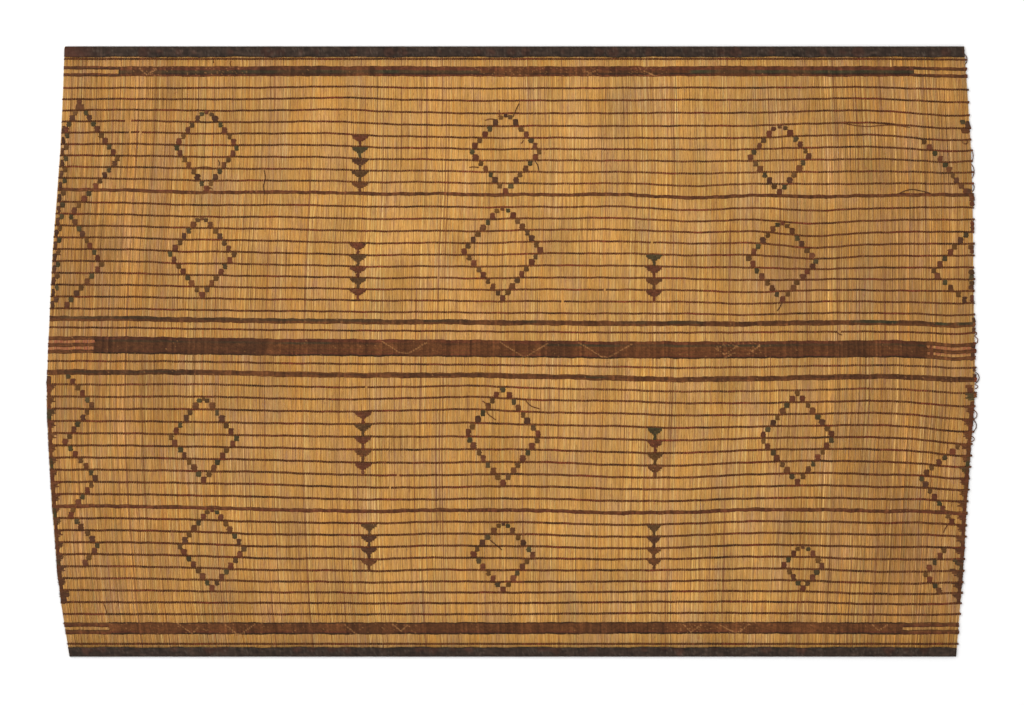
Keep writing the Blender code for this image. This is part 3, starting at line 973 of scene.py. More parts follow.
def twined_row(row, edges, first, last, thong):
    """Two flat strands that twist round pairs of stems, from one cell of two stems to another. Each strand
    goes over one pair and under the next, and they take turns. Over a pair it slants from one side of the
    row's line to the other, and below it slants back. Its section is a low triangle that stays level, up
    to 12% wider in the lower field, where the thongs are drawn less tight."""
    cells = np.arange(first, last)
    starts, ends = edges[2 * cells], edges[2 * cells + 2]
    share = np.stack([starts + bend * (ends - starts) for bend in BENDS], axis=1).ravel()
    rough = across(share, float(row.heights.mean()))
    height = row_line(row, rough)
    place = across(share, height)
    loose = LOOSE_WIDTH - (LOOSE_WIDTH - 1) * float(smooth_step(*LOOSE_HEIGHTS, row.heights.mean()))
    half, thick = thong.width * thong.strand / 2 * loose, thong.thickness
    section = np.array([(-half, -thick / 2), (half, -thick / 2), (0.0, thick / 2)])
    top = PANEL_HIGH + STRAND_GAP + thick / 2
    low = PANEL_LOW - STRAND_GAP - thick / 2
    points = np.empty((2, len(share), 3, 3))
    for strand in (0, 1):
        over = np.repeat((cells + strand) % 2 == 0, 2)
        lean = np.where(over, 1.0, -1.0) * np.tile([-1.0, 1.0], len(cells)) * thong.slant * thong.width
        points[strand, :, :, 0] = place[:, None]
        points[strand, :, :, 1] = (height + lean)[:, None] + section[:, 0]
        points[strand, :, :, 2] = np.where(over, top, low)[:, None] + section[:, 1]
    return points


def runs_between(row, edges, first, last):
    """The cells from first to last in runs, parted where a stitch was missed on this row"""
    cells = np.arange(first, last)
    place = across(edges[2 * cells + 1], float(row.heights.mean()))
    kept = np.ones(len(cells), bool)
    for pixel, down, missed in MISSED:
        middle = place_at(pixel)
        if abs(float(row_line(row, middle)) - height_at(down)) < NEAR_ROW:
            kept &= np.abs(place - middle) > missed * PIXEL / 2
    breaks = np.flatnonzero(np.diff(kept.astype(int))) + 1
    parts = np.split(cells, breaks)
    return [(part[0], part[-1] + 1) for part in parts if kept[part[0] - first]]


def row_blocks(row, edges, thong):
    """A twined row as blocks for make_piece, in runs between its missed stitches. Each stitch is a little
    lighter or darker than the next."""
    blocks = []
    for start, end in runs_between(row, edges, 0, (len(edges) - 1) // 2):
        points = twined_row(row, edges, start, end, thong)
        random = np.random.default_rng(row.seed + int(start))
        tone = np.repeat(np.exp(random.normal(0.0, 0.15, (2, end - start))), 2, axis=1)
        tone = tone[..., None] * thong_fade(points[..., 0], points[..., 1])
        dye = thong_colour(points[..., 0], row.seed, thong) * tone[..., None]
        blocks.append((points, np.clip(dye, 0.0, 1.0)))
    return blocks


def twine_thin_thongs(settings):
    """The thin thongs, a field to a piece"""
    edges, _ = lay_shares(settings.reed)
    for name, numbers in THONG_GROUPS:
        names = [f"thong_{number:02d}" for number in numbers]
        blocks = []
        for each in names:
            blocks += row_blocks(ROWS[each], edges, settings.thong)
        piece = make_piece(name, blocks, leather_finish())
        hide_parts(*names)


# Woven bands

# Height of a low ridge as a share of a high one's, how far the ridges lean, and a groove's light, which is
# painted shade
LOW_RIDGE = 0.45
RIDGE_LEAN = 0.16
PAINTED_GROOVE_LIGHT = 0.72
# How far a band's sides waver slowly and from stem to stem, how ragged its ends are, and its edges' rise
SIDE_WAVER = 0.7 * MM
SIDE_JITTER = 0.35 * MM
END_JITTER = 1.3 * MM
EDGE_RISE = 0.15 * MM


def chevron_light(name, place, height):
    """How near a point is to a chevron's line: 1 on it and 0 from 2.2 mm away"""
    light = np.zeros(np.shape(place))
    for band, *turns in CHEVRONS:
        if band != name:
            continue
        for (x0, y0), (x1, y1) in zip(turns[:-1], turns[1:]):
            start = np.array([place_at(x0), height_at(y0)])
            run = np.array([place_at(x1), height_at(y1)]) - start
            along = ((place - start[0]) * run[0] + (height - start[1]) * run[1]) / (run @ run)
            along = np.clip(along, 0.0, 1.0)
            away = np.hypot(place - start[0] - along * run[0], height - start[1] - along * run[1])
            light = np.maximum(light, 1 - smooth_step(0.8 * MM, 2.2 * MM, away))
    return light


def lengths_at(table, name, place):
    """How deep a place lies in the lengths that a table gives for a woven piece, with soft ends"""
    found = np.zeros(np.shape(place))
    for each, start, end, depth in table:
        if each == name:
            inside = smooth_step(-0.01, 0.01, place - place_at(start))
            inside = inside * smooth_step(-0.01, 0.01, place_at(end) - place)
            found = np.maximum(found, depth * inside)
    return found


def weft_tone_and_painted_shade(rings, random):
    """Tone of a band along it, as the logarithm of a factor: each pair of stems has its own tone, with
    painted light on its back and painted shade in the groove beside it"""
    pair = np.repeat(random.normal(0.0, 0.16, rings // 2 + 1), 2)[:rings]
    # Painted light on the back of each pair of stems, painted shade in the groove beside it
    return pair + np.where(np.arange(rings) % 2 == 1, 0.08, -0.08)


def band_colour(name, place, height, cross, band):
    """Colour of a woven band: a colour for each twined row, evened out by a slow wander, with green in
    its green lengths and dark in its dark ones. Stitches differ a little, and light ones lie along the
    chevrons and among the freckles, mostly on the back of a pair of stems. cross goes from -1 at the
    lower side to 1 at the upper."""
    seed = ROWS[name].seed
    random = np.random.default_rng(seed + 70)
    letters = BAND_ROWS[name]
    turn = np.clip(((1 - cross) / 2 * len(letters)).astype(int), 0, len(letters) - 1)
    green = lengths_at(GREEN_LENGTHS, name, place)
    dyes = {"r": band.red, "b": band.brown, "d": band.dark, "g": band.green}
    colours = np.array([dyes[letter] for letter in letters])[turn]
    lighter = smooth_step(-1.0, 1.0, wander(place, seed + 40, 1.0, 0.37, 0.11))
    plain = mix(band.dark, band.brown, 0.4 + 0.5 * lighter)
    is_green = np.array([letter == "g" for letter in letters])[turn][..., None]
    colours = np.where(is_green, mix(plain, band.green, green), colours)
    colours = mix(colours, band.brown, 0.6 * smooth_step(-0.4, 1.2, wander(place, seed, 1.0, 0.6, 0.21)))
    colours = mix(colours, band.dark, 0.3 * smooth_step(0.2, 1.3, wander(place, seed + 20, 1.0, 0.83, 0.17)))
    colours = mix(colours, band.dark, lengths_at(DARK_LENGTHS, name, place))
    # Each pair of stems has its own tone, with painted light on its back and painted shade in its groove
    tone = random.normal(0.0, 0.15, np.shape(place)) + weft_tone_and_painted_shade(len(place), random)[:, None]
    colours = colours * np.exp(tone)[..., None]
    chevron = chevron_light(name, place, height)
    chance = 0.003 + 0.75 * chevron + lengths_at(FRECKLES, name, place)
    back = np.where(np.arange(len(place)) % 2 == 1, 1.5, 0.3)[:, None]
    dots = random.random(np.shape(place)) < chance * back
    return mix(colours, band.light, 0.75 * dots + 0.06 * chevron)


def woven_slab(row, rows_across, edges, first, last, band, width, ragged=False, shift=0.0):
    """A band of twined rows as one slab round the stems, from one cell to another. Its section is carried
    along X with a ring at each stem: above, a ridge for each twined row and a groove between two, and the
    ridges of odd and even rows are high at odd and even stems. Below, it has at most a third as many. Both
    sides waver by themselves. The grooves and the low ridges are darkened with painted shade."""
    stems = np.arange(2 * first, 2 * last + 1)
    share = edges[stems]
    rough = across(share, float(row.heights.mean()))
    line = row_line(row, rough) + shift
    upper = np.arange(2 * rows_across, -1, -1)
    lower = np.arange(0, 2 * rows_across + 1, 3)
    lower[-1] = 2 * rows_across
    cross = np.concatenate([lower, upper]) / rows_across - 1.0
    samples = np.concatenate([lower, upper])
    is_upper = np.arange(len(samples)) >= len(lower)
    ridge = np.where(samples % 2 == 1, 1.0, 0.0)
    turn = (stems[:, None] + samples // 2) % 2
    lift = ridge * np.where(turn == 0, 1.0, LOW_RIDGE)
    half = width / 2
    lean = ridge * np.where(turn == 0, RIDGE_LEAN, -RIDGE_LEAN) * half / rows_across
    height = line[:, None] + cross * half + lean
    random = np.random.default_rng(row.seed)
    for side in (-1, 1):
        waver = wander(rough, row.seed + 9 + side, SIDE_WAVER, 0.31, 0.13, 0.05)
        waver = waver + random.normal(0.0, SIDE_JITTER, len(rough))
        height = height + waver[:, None] * np.clip(side * cross, 0.0, 1.0) ** 2
    place = across(share[:, None], height)
    if ragged:
        place[0] += random.normal(0.0, END_JITTER, len(cross))
        place[-1] += random.normal(0.0, END_JITTER, len(cross))
    top = PANEL_HIGH + BAND_RISE - band.relief * (1 - lift)
    bottom = PANEL_LOW - BAND_RISE + band.relief * 0.6 * (1 - lift)
    edge = np.abs(cross) > 0.999
    top = np.where(edge, PANEL_HIGH + EDGE_RISE, top)
    bottom = np.where(edge, PANEL_LOW - EDGE_RISE, bottom)
    points = np.stack([place, height, np.where(is_upper, top, bottom)], axis=-1)[None]
    colours = band_colour(row.name, place, height, cross[None], band)[None]
    # Painted shade darkens the grooves, and the low ridges a little
    painted_groove_shade = PAINTED_GROOVE_LIGHT + (1 - PAINTED_GROOVE_LIGHT) * lift
    return points, colours * painted_groove_shade[None, ..., None]


def cell_at(edges, pixel, row):
    """The cell of two stems that lies at a pixel across"""
    place = float(place_at(pixel))
    share = float(share_at(place, float(row_line(row, place))))
    return int(np.searchsorted(edges[::2], share))


def weave_bands(settings):
    """The three broad bands, open at both ends, and the two stripes"""
    edges, _ = lay_shares(settings.reed)
    last = (len(edges) - 1) // 2
    band = settings.band
    for name, start, end, open_rows, width in BROAD_BANDS:
        row = ROWS[name]
        start, end = cell_at(edges, start, row), cell_at(edges, end, row)
        blocks = [woven_slab(row, len(BAND_ROWS[name]), edges, start, end, band, row.width, True)]
        for shift in np.linspace(-1, 1, open_rows) * (row.width - width) / 2:
            for first, beyond in ((0, start + 1), (end - 1, last)):
                blocks.append(woven_slab(row, 2, edges, first, beyond, band, width, shift=shift))
        piece = make_piece(f"woven_{name}", blocks, leather_finish())
        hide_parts(name)
    for name in ("stripe_upper", "stripe_lower"):
        weave_narrow(name, settings)


def weave_narrow(name, settings):
    """A stripe or thick thong, woven from one side edge to the other"""
    edges, _ = lay_shares(settings.reed)
    row, cells = ROWS[name], (len(edges) - 1) // 2
    width = row.width * SPREAD[name]
    block = woven_slab(row, len(BAND_ROWS[name]), edges, 0, cells, settings.band, width)
    piece = make_piece(f"woven_{name}", [block], leather_finish())
    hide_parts(name)


def twine_thick_thongs(settings):
    """The two thick thongs: two twined rows side by side, drawn tight into one"""
    for name in THICK_THONGS:
        weave_narrow(name, settings)


# Wrapped blocks

# Every other turn of a block is slimmer and darker with painted shade, and how uneven the turns are along the
# stems
SLIM_TURN = 0.93
SLIM_TURN_PAINTED_SHADE = 0.78
TURN_JITTER = 0.25 * MM
# How far a block strays from its place in a motif
BLOCK_JITTER = 0.8 * MM
# How far a block's dye may have faded
MOST_FADED = 0.38
# Number of the space right below the centre band, counted from 0 at the top edge
CENTRE_SPACE = 24


def wrapped_blocks(blocks, band, seed, rings=7, end=0.8):
    """Blocks of leather wrapped round a few stems, each given as its middle, lower and upper height, width
    and colour: a rounded rectangle carried along Y between the heights. Its width swells along a half
    oval from the end's share of the full width, every other ring is slimmer and darker with painted shade,
    so that the turns show, and the sides are uneven. Each block's dye has faded a little towards the worn
    colour."""
    random = np.random.default_rng(seed)
    count = len(blocks)
    middles, lows, highs, widths, colours = (np.array(column) for column in zip(*blocks))
    colours = mix(colours, band.worn, random.uniform(0.0, MOST_FADED, count))
    shape = np.array([(-0.8, 1), (0.8, 1), (1, 0.6), (1, -0.6), (0.8, -1), (-0.8, -1), (-1, -0.6), (-1, 0.6)])
    steps = np.linspace(0.0, 1.0, rings)
    swell = end + (1 - end) * np.sqrt(1 - np.abs(2 * steps - 1) ** 3)
    turns = np.where(np.arange(rings) % 2 == 1, 1.0, SLIM_TURN)
    ragged = random.normal(0.0, band.raggedness, (count, rings, 2))
    half = widths[:, None] / 2 * swell * turns
    left, right = half + ragged[..., 0], half + ragged[..., 1]
    reach = np.where(shape[:, 0] < 0, left[..., None], right[..., None])
    points = np.empty((count, rings, 8, 3))
    points[..., 0] = middles[:, None, None] + reach * shape[:, 0]
    points[..., 1] = (lows[:, None] + (highs - lows)[:, None] * steps)[..., None]
    points[..., 1] += random.normal(0.0, TURN_JITTER, (count, rings, 8))
    thick = WRAPPED_HALF * (0.5 * turns + 0.5 * swell**0.5)
    points[..., 2] = PANEL_LEVEL + thick[:, None] * shape[:, 1]
    tone = np.exp(random.normal(0.0, 0.12, (count, 1, 1)))
    # Painted shade on every other, slimmer ring, between the turns
    tone = tone * np.where(turns > SLIM_TURN, 1.0, SLIM_TURN_PAINTED_SHADE)[None, :, None]
    dye = colours[:, None, None, :] * tone[..., None]
    return points, np.broadcast_to(np.clip(dye, 0, 1), points.shape)


def block_colour(letter, band):
    """Linear colour of a block from its letter: red, green, ochre, brown, dark, or k between green and
    brown"""
    colours = {"r": band.red, "g": band.olive, "o": band.ochre, "b": band.brown, "d": band.maroon}
    colours["k"] = mix(band.olive, band.brown, 0.5)
    return np.array(colours[letter])


def space_letter(gap, half, side):
    """Colour of a block by where it is wrapped. In the lower half of a space between thongs it is red,
    now and then dark or brown. In the upper half, green and ochre take turns, the other way round on a
    motif's right side than on its left, and the other way round again below the centre band."""
    if half == 1:
        return "rrdrb"[gap * 3 % 5]
    return "og"[(gap + (side > 0) + (gap > CENTRE_SPACE)) % 2]


def gap_heights(gap, place):
    """Upper and lower height of the space between two neighbouring thongs at a place"""
    above, below = LADDER[gap], LADDER[gap + 1]
    overlap = 1.1 * MM
    top = row_line(above, place) - above.width / 2 + overlap
    return top, row_line(below, place) + below.width / 2 - overlap


def half_gaps(place, high, low):
    """The half spaces between thongs from one height down to another: gap, upper (0) or lower (1) half,
    and the height of its middle at the place"""
    found = []
    for gap in range(len(LADDER) - 1):
        top, bottom = gap_heights(gap, place)
        for half in (0, 1):
            middle = top + (bottom - top) * (0.25 + 0.5 * half)
            if low <= middle <= high:
                found.append((gap, half, float(middle)))
    return found


def half_gap_blocks(chosen, band, seed):
    """Wrapped blocks between thongs: chosen is (gap, number of the span, place, width, colour letter). A
    lower one is a little wider and reaches down to the thong."""
    blocks = []
    for gap, span, place, width, letter in chosen:
        top, bottom = gap_heights(gap, place)
        high, low = (top + share * (bottom - top) for share in SPANS[span])
        blocks.append((place, low, high, width * (1.08 if span == 1 else 0.95), block_colour(letter, band)))
    return wrapped_blocks(blocks, band, seed)


def diamond_blocks(diamond, band, seed):
    """A stepped diamond: two blocks in each half space between thongs. Their distance from the middle
    shrinks evenly from the half width at the side tips to about a block's width at the top, where a thin
    block between two low ones closes it, and to nothing at the bottom, where there is one block. Two
    diamonds are pointed at the top as well."""
    random = np.random.default_rng(seed)
    pixel, down, half_width, rise, fall, left, right, crown = diamond
    letters = {-1: list(left), 1: list(right)}
    middle, tip = float(place_at(pixel)), float(height_at(down))
    spaces = half_gaps(middle, tip + rise * PIXEL, tip - fall * PIXEL)
    chosen = [(spaces[0][0], 2, middle, 0.8 * band.block, crown)] if crown else []
    for gap, half, height in spaces:
        reach = fall + 0.5 if height < tip else rise + (5.0 if crown else 0.7)
        offset = half_width * PIXEL * (1 - abs(height - tip) / (reach * PIXEL))
        if offset < 0.4 * band.block:
            chosen.append((gap, half, middle, band.block, "r" if height < tip else letters[-1].pop(0)))
            continue
        span = 3 if crown and height == spaces[0][2] else half
        for side in (-1, 1):
            place = middle + side * offset + random.normal(0.0, BLOCK_JITTER)
            width = band.block * random.uniform(0.88, 1.12)
            listed = half == 0 and letters[side]
            letter = letters[side].pop(0) if listed else space_letter(gap, half, side)
            chosen.append((gap, span, place, width, letter))
    return half_gap_blocks(chosen, band, seed)


def zigzag_blocks(zigzag, band, seed):
    """A zigzag: one block in each half space, on the line from turn to turn"""
    random = np.random.default_rng(seed)
    side, letters, turns = zigzag
    letters = list(letters)
    chosen = []
    for (x0, y0), (x1, y1) in zip(turns[:-1], turns[1:]):
        start, end = float(height_at(y0)), float(height_at(y1))
        middle = float(place_at((x0 + x1) / 2))
        for gap, half, height in half_gaps(middle, start, end):
            share = (height - start) / (end - start)
            place = float(place_at(x0 + (x1 - x0) * share)) + random.normal(0.0, BLOCK_JITTER)
            letter = letters.pop(0) if letters and half == 0 else space_letter(gap, half, side)
            chosen.append((gap, half, place, band.block * random.uniform(0.85, 1.1), letter))
    return half_gap_blocks(chosen, band, seed)


def triangle_blocks(column, band, seed):
    """A column of triangles that hang point down, one from each thong. Each is four bars of wrapped
    stitches three stems wide, shorter step by step, in the upper half of the space, and a slim stem down
    to the next thong."""
    random = np.random.default_rng(seed)
    pixel, down, size, letters = column
    middle = float(place_at(pixel))
    tops = np.array([float(row_line(row, middle)) for row in LADDER])
    first = int(np.argmin(np.abs(tops - height_at(down))))
    bars, stems = [], []
    for number, letter in enumerate(letters):
        top, bottom = gap_heights(first + number, middle)
        pitch = (top - bottom) * TRIANGLE_SHARE / len(TRIANGLE_BARS)
        dye = block_colour(letter, band)
        for bar, half in enumerate(TRIANGLE_BARS):
            stitches = max(round(2 * half * size * PIXEL / STITCH), 1)
            width = 2 * half * size * PIXEL / stitches
            high = top - bar * pitch
            for stitch in range(stitches):
                place = middle + (stitch + 0.5 - stitches / 2) * width + random.normal(0.0, 0.3 * MM)
                bars.append((place, high - pitch - 0.5 * MM, high + 0.5 * MM, width + 1.8 * MM, dye))
        high = top - len(TRIANGLE_BARS) * pitch
        stems.append((middle, bottom, high + 0.4 * MM, 2 * TRIANGLE_STEM * PIXEL, dye))
    parts = [wrapped_blocks(bars, band, seed, rings=3, end=0.95)]
    return parts + [wrapped_blocks(stems, band, seed + 1, rings=5, end=0.85)]


def wrap_motifs(settings):
    """Diamonds, triangles and zigzags, the upper field's and the lower field's in a piece each"""
    band = settings.band
    groups = {
        "diamonds": [(item[1], diamond_blocks(item, band, 20 + i)) for i, item in enumerate(DIAMONDS)],
        "zigzags": [(item[2][0][1], zigzag_blocks(item, band, 50 + i)) for i, item in enumerate(ZIGZAGS)],
        "triangles": [
            (item[1], block)
            for i, item in enumerate(TRIANGLE_COLUMNS)
            for block in triangle_blocks(item, band, 70 + 2 * i)
        ],
    }
    for word, found in groups.items():
        for field, is_upper in (("upper", True), ("lower", False)):
            blocks = [block for down, block in found if (down < FIELDS_PART) == is_upper]
            piece = make_piece(f"{word}_{field}_field", blocks, leather_finish())


# Edges

# How far a binding's plain leather and its round fold stand out past the stems' ends, the radius of its
# round corner, and how far its end droops
FOLD_REACH = 2.1 * MM
FOLD_OUT = 1.4 * MM
CORNER_RADIUS = 6 * MM
DROOP = 4 * MM
# The tied edge: how far in its blocks and its bars lie and their widths, and the share of the space between
# two thongs at which a bar begins
TIED_BLOCK = (5.8 * PIXEL, 4.5 * PIXEL)
TIED_BAR = (2.1 * PIXEL, 4.0 * PIXEL)
TIED_BAR_TOP = 0.36
# How far a knot reaches back over the mat, and a loop's ends too
KNOT_GRIP = 3.5 * MM
LOOP_GRIP = 1.5 * MM
# A loop's path: share of the way down, whether it is out there, and its level
LOOP_TURNS = ((0.0, False, 4.0 * MM), (0.3, True, 3.2 * MM), (0.7, True, 2.6 * MM), (1.0, False, 3.6 * MM))


def folded_binding(name, side, depth, settings):
    """Leather folded over the stems' ends: a sheet 1 mm thick in a U, carried from the left edge to the
    right. Stems press through it and have worn it in streaks and mottles, and its inner edge waves. The
    top one's left corner is reddish and round, and the bottom one's right end droops a little."""
    edge = settings.edge
    share, _ = lay_shares(settings.reed)
    fold = EDGE_HEIGHTS[-1]
    inner = fold + FOLD_REACH - depth
    low, high, thick = PANEL_LOW - BINDING_RISE, PANEL_HIGH + BINDING_RISE, BINDING_LEATHER
    turn = np.radians([-45, 0, 45])
    outer = [(inner, low), ((inner + fold) / 2, low), (fold, low)]
    outer += [(fold + FOLD_OUT * np.cos(a), PANEL_LEVEL + EDGE_HALF * np.sin(a)) for a in turn]
    outer += [(place, high) for place in np.linspace(fold, inner, 6)]
    inside = [(inner, high - thick), (fold, high - thick), (fold + 0.5 * MM, PANEL_LEVEL)]
    inside += [(fold, low + thick), (inner, low + thick)]
    section = np.array(outer + inside)
    y = np.broadcast_to(section[:, 0], (len(share), len(section))).copy()
    z = np.broadcast_to(section[:, 1], (len(share), len(section))).copy()
    rough = across(share, side * fold)
    seed = 5 if side > 0 else 6
    wave = wander(rough, seed, edge.waviness, 0.31, 0.17, 0.07)
    wave = wave + wander(rough, seed + 1, 0.3 * MM, 0.023, 0.013)
    nearness = (fold - y) / (fold - inner)
    y += nearness * wave[:, None]
    random = np.random.default_rng(seed)
    bump = random.normal(0.0, 0.12 * MM, (len(share), 1))
    z += np.where(section[:, 1] > PANEL_LEVEL, 1.0, -1.0) * np.abs(bump) * 0.7
    place = across(share[:, None], side * np.minimum(y, fold))
    into = np.clip((y - (fold + FOLD_OUT - CORNER_RADIUS)) / CORNER_RADIUS, 0.0, 1.0)
    inset = CORNER_RADIUS * (1 - np.sqrt(1 - into**2))
    if side > 0:
        place = place + inset * (1 - smooth_step(0.0, 0.02, share)[:, None])
    if side < 0:
        y = y + DROOP * smooth_step(0.988, 1.0, share)[:, None] * nearness
        y, z, place = y[:, ::-1], z[:, ::-1], place[:, ::-1]
    points = np.stack([place, side * y, z], axis=-1)[None]
    patchy = wander(points[..., 0], seed + 3, 1.0, 0.33, 0.12, 0.05) + wander(points[..., 1], seed, 0.6, 0.04)
    colours = mix(edge.black, edge.red, 0.3 * smooth_step(0.6, 1.4, patchy))
    streak = random.normal(0.0, 0.13, (len(share), 1))
    fine = random.normal(0.0, 0.09, (len(share) + 4, len(section)))
    mottle = sum(fine[first : first + len(share)] for first in range(5))
    colours = colours * np.exp(streak + mottle)[None, ..., None]
    colours = mix(colours, edge.speck, 0.25 * (random.random(place.shape) < 0.06)[None])
    if side > 0:
        corner = 1 - smooth_step(0.02, 0.12, points[..., 0] - float(rough[0]))
        colours = mix(colours, edge.red, 0.6 * corner)
    piece = make_piece(name, [(points, colours)], leather_finish())
    return piece


def fold_bindings(settings):
    """The top and the bottom binding"""
    for name, side in (("binding_top", 1), ("binding_bottom", -1)):
        points = node_points(name)
        depth = float(np.ptp(points[:, 1]))
        piece = folded_binding(f"folded_{name}", side, depth, settings)
        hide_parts(name)


def whip_colour(height, greens, band):
    """Colour of a whipped edge: red brown, with green lengths, and darker towards the mat's lower edge"""
    colours = mix(band.red, band.brown, smooth_step(-0.8, 1.0, wander(height, 8, 1.0, 0.13, 0.05)))
    for each in greens:
        away = np.abs(height - height_at(each)) / PIXEL
        colours = mix(colours, band.olive, 1 - smooth_step(4.0, 6.5, away))
    return mix(colours, band.maroon, 0.8 * smooth_step(0.40, 0.72, -np.asarray(height, float)))


def whipped_edge(side, start, end, width, greens, settings):
    """A side edge whipped with a flat thong: an ellipse carried down the edge, two rings to a turn, one
    full and one drawn in and darker with painted shade."""
    band, edge = settings.band, settings.edge
    top, bottom = float(height_at(start)), float(height_at(end))
    rings = 2 * round((top - bottom) / edge.turn) + 1
    random = np.random.default_rng(31 + side)
    height = np.linspace(bottom, top, rings)
    full = np.where(np.arange(rings) % 2 == 1, 1.0, 0.84) * np.exp(random.normal(0.0, 0.05, rings))
    full[[0, -1]] *= 0.6
    half = width * PIXEL / 2 * full * (1 + wander(height, 3 + side, 0.12, 0.21, 0.09))
    middle = side_edge(side, height) - side * (width * PIXEL / 2 - 1.2 * MM)
    turn = np.radians(22.5 + 45 * np.arange(8))
    points = np.empty((1, rings, 8, 3))
    points[0, :, :, 0] = middle[:, None] + half[:, None] * np.sin(turn)
    points[0, :, :, 1] = height[:, None] + side * 1.2 * MM * np.sin(turn)
    points[0, :, :, 2] = PANEL_LEVEL + EDGE_HALF * full[:, None] * np.cos(turn)
    # Painted shade: the drawn-in ring between two turns is darker
    colours = whip_colour(height, greens, band) * (0.6 + 0.4 * (np.arange(rings) % 2))[:, None]
    return points, np.broadcast_to(colours[None, :, None, :], points.shape)


def edge_blocks(settings):
    """Leather at the side edges: a fringe of single stitches below each thong of a whipped edge, a block
    and a bar in each space of the tied edge, and single bars."""
    band = settings.band
    random = np.random.default_rng(77)
    blocks = []
    for side, _, end, _, start, reach, greens in WHIPPED_EDGES:
        for row, below in zip(LADDER[:-1], LADDER[1:]):
            edge = float(side_edge(side, row.heights[0 if side < 0 else -1]))
            top, bottom = float(row_line(row, edge)), float(row_line(below, edge))
            if not height_at(end) < bottom < top < height_at(start):
                continue
            dye = whip_colour(top, greens, band)
            for high, low, share in FRINGE:
                span = (top + (bottom - top) * low, top + (bottom - top) * high)
                stitch = reach * share * PIXEL * random.uniform(0.85, 1.15)
                blocks.append((edge - side * stitch / 2, *span, stitch, dye))
    start, end, letters = TIED_EDGE
    gaps = [gap for gap in range(len(LADDER) - 1) if LADDER[gap].name != "band_top"]
    edge = float(side_edge(-1, height_at((start + end) / 2)))
    spans = [gap_heights(gap, edge) for gap in gaps]
    spans = [span for span in spans if height_at(end) < sum(span) / 2 < height_at(start)]
    for (top, bottom), letter in zip(spans, letters):
        edge = float(side_edge(-1, top))
        half = (top + bottom) / 2
        blocks.append((edge + TIED_BLOCK[0], half, top, TIED_BLOCK[1], block_colour(letter, band)))
        high = top + TIED_BAR_TOP * (bottom - top)
        blocks.append((edge + TIED_BAR[0], bottom, high, TIED_BAR[1], block_colour("d", band)))
    for x0, y0, x1, y1, letter in BARS:
        middle, width = float(place_at((x0 + x1) / 2)), (x1 - x0) * PIXEL
        low, high = float(height_at(y1)), float(height_at(y0))
        blocks.append((middle, low, high, width, block_colour(letter, band)))
    return wrapped_blocks(blocks, band, 78, rings=5, end=0.75)


def row_knots(settings):
    """A knot at both ends of each thong: a short bar carried along Y, larger at the right edge"""
    thong = settings.thong
    random = np.random.default_rng(91)
    knots = []
    broad = [item[0] for item in BROAD_BANDS]
    ends = [(row, 0.0, row.width) for row in ROWS.values() if row.name not in broad]
    for name, _, _, open_rows, width in BROAD_BANDS:
        for shift in np.linspace(-1, 1, open_rows) * (ROWS[name].width - width) / 2:
            ends.append((ROWS[name], shift, width))
    for row, shift, width in ends:
        for side in (-1, 1):
            edge = float(side_edge(side, row.heights[0 if side < 0 else -1] + shift))
            height = float(row_line(row, edge)) + shift
            out = settings.edge.knot * random.uniform(0.5, 1.15) if side > 0 else settings.edge.flush
            half = width / 2 + (random.uniform(0.2, 1.0) * MM if side > 0 else 0.0)
            reach = out + KNOT_GRIP
            dye = thong_colour(np.array(edge), row.seed, thong)
            knots.append((edge + side * (out - reach / 2), height - half, height + half, reach, dye))
    return wrapped_blocks(knots, settings.band, 92, rings=5)


def cord_path(turns, steps):
    """A smooth path through the turns, with the given number of steps"""
    turns = np.array(turns, float)
    places = np.arange(len(turns), dtype=float)
    at = np.linspace(0.0, len(turns) - 1.0, steps + 1)
    return np.stack([smooth_through(places, turns[:, axis], at) for axis in range(3)], axis=-1)


def thin_cord(turns, radius, steps, colours, flat=0.7):
    """A thin strand: a flattened pentagon carried along a path that lies nearly level"""
    path = cord_path(turns, steps)
    ahead = np.gradient(path, axis=0)
    ahead[:, 2] = 0.0
    ahead /= np.linalg.norm(ahead, axis=1, keepdims=True)
    aside = np.stack([-ahead[:, 1], ahead[:, 0], np.zeros(len(ahead))], axis=-1)
    angle = np.radians(72.0 * np.arange(5))
    size = np.full(len(path), radius)
    size[[0, -1]] *= 0.6
    rise = np.array([0.0, 0.0, 1.0])
    ring = aside[:, None] * np.cos(angle)[:, None] + rise * np.sin(angle)[:, None] * flat
    points = path[:, None] + ring * size[:, None, None]
    return points[None], np.broadcast_to(np.asarray(colours, float), points[None].shape)


def finish_edges(settings):
    """Whipped edges with their fringe, knots, loops and loose ends"""
    thong = settings.thong
    blocks = [whipped_edge(*item[:4], item[6], settings) for item in WHIPPED_EDGES]
    piece = make_piece("whipped_edges", blocks + [edge_blocks(settings)], leather_finish())
    piece = make_piece("thong_knots", [row_knots(settings)], leather_finish())
    loops = []
    for number, (start, end, out) in enumerate(EDGE_LOOPS):
        top, bottom = float(height_at(start)), float(height_at(end))
        edge = float(side_edge(1, (top + bottom) / 2))
        reach = {False: edge - LOOP_GRIP, True: edge + out * PIXEL + LOOP_GRIP}
        turns = [(reach[is_out], top + (bottom - top) * share, level) for share, is_out, level in LOOP_TURNS]
        loops.append(thin_cord(turns, STRAND_RADIUS, 12, thong.brown if number % 3 else thong.black))
    for number, turns in enumerate(LOOSE_ENDS):
        level = PANEL_HIGH + 0.9 * MM
        turns = [(float(place_at(x)), float(height_at(y)), level) for x, y in turns]
        loops.append(thin_cord(turns, STRAND_RADIUS, 10, thong.brown if number % 3 else thong.black))
    piece = make_piece("loops_and_loose_ends", loops, leather_finish())


# Stage

# Half side and level of the floor, size and place of the lamp, and the sensor's width in millimetres
FLOOR_HALF = 30.0
FLOOR_LEVEL = -0.4 * MM
LAMP_SIZE = (3.0, 2.4)
LAMP_PLACE = (-3.2, 2.6, 4.6)
SENSOR_WIDTH = 36.0


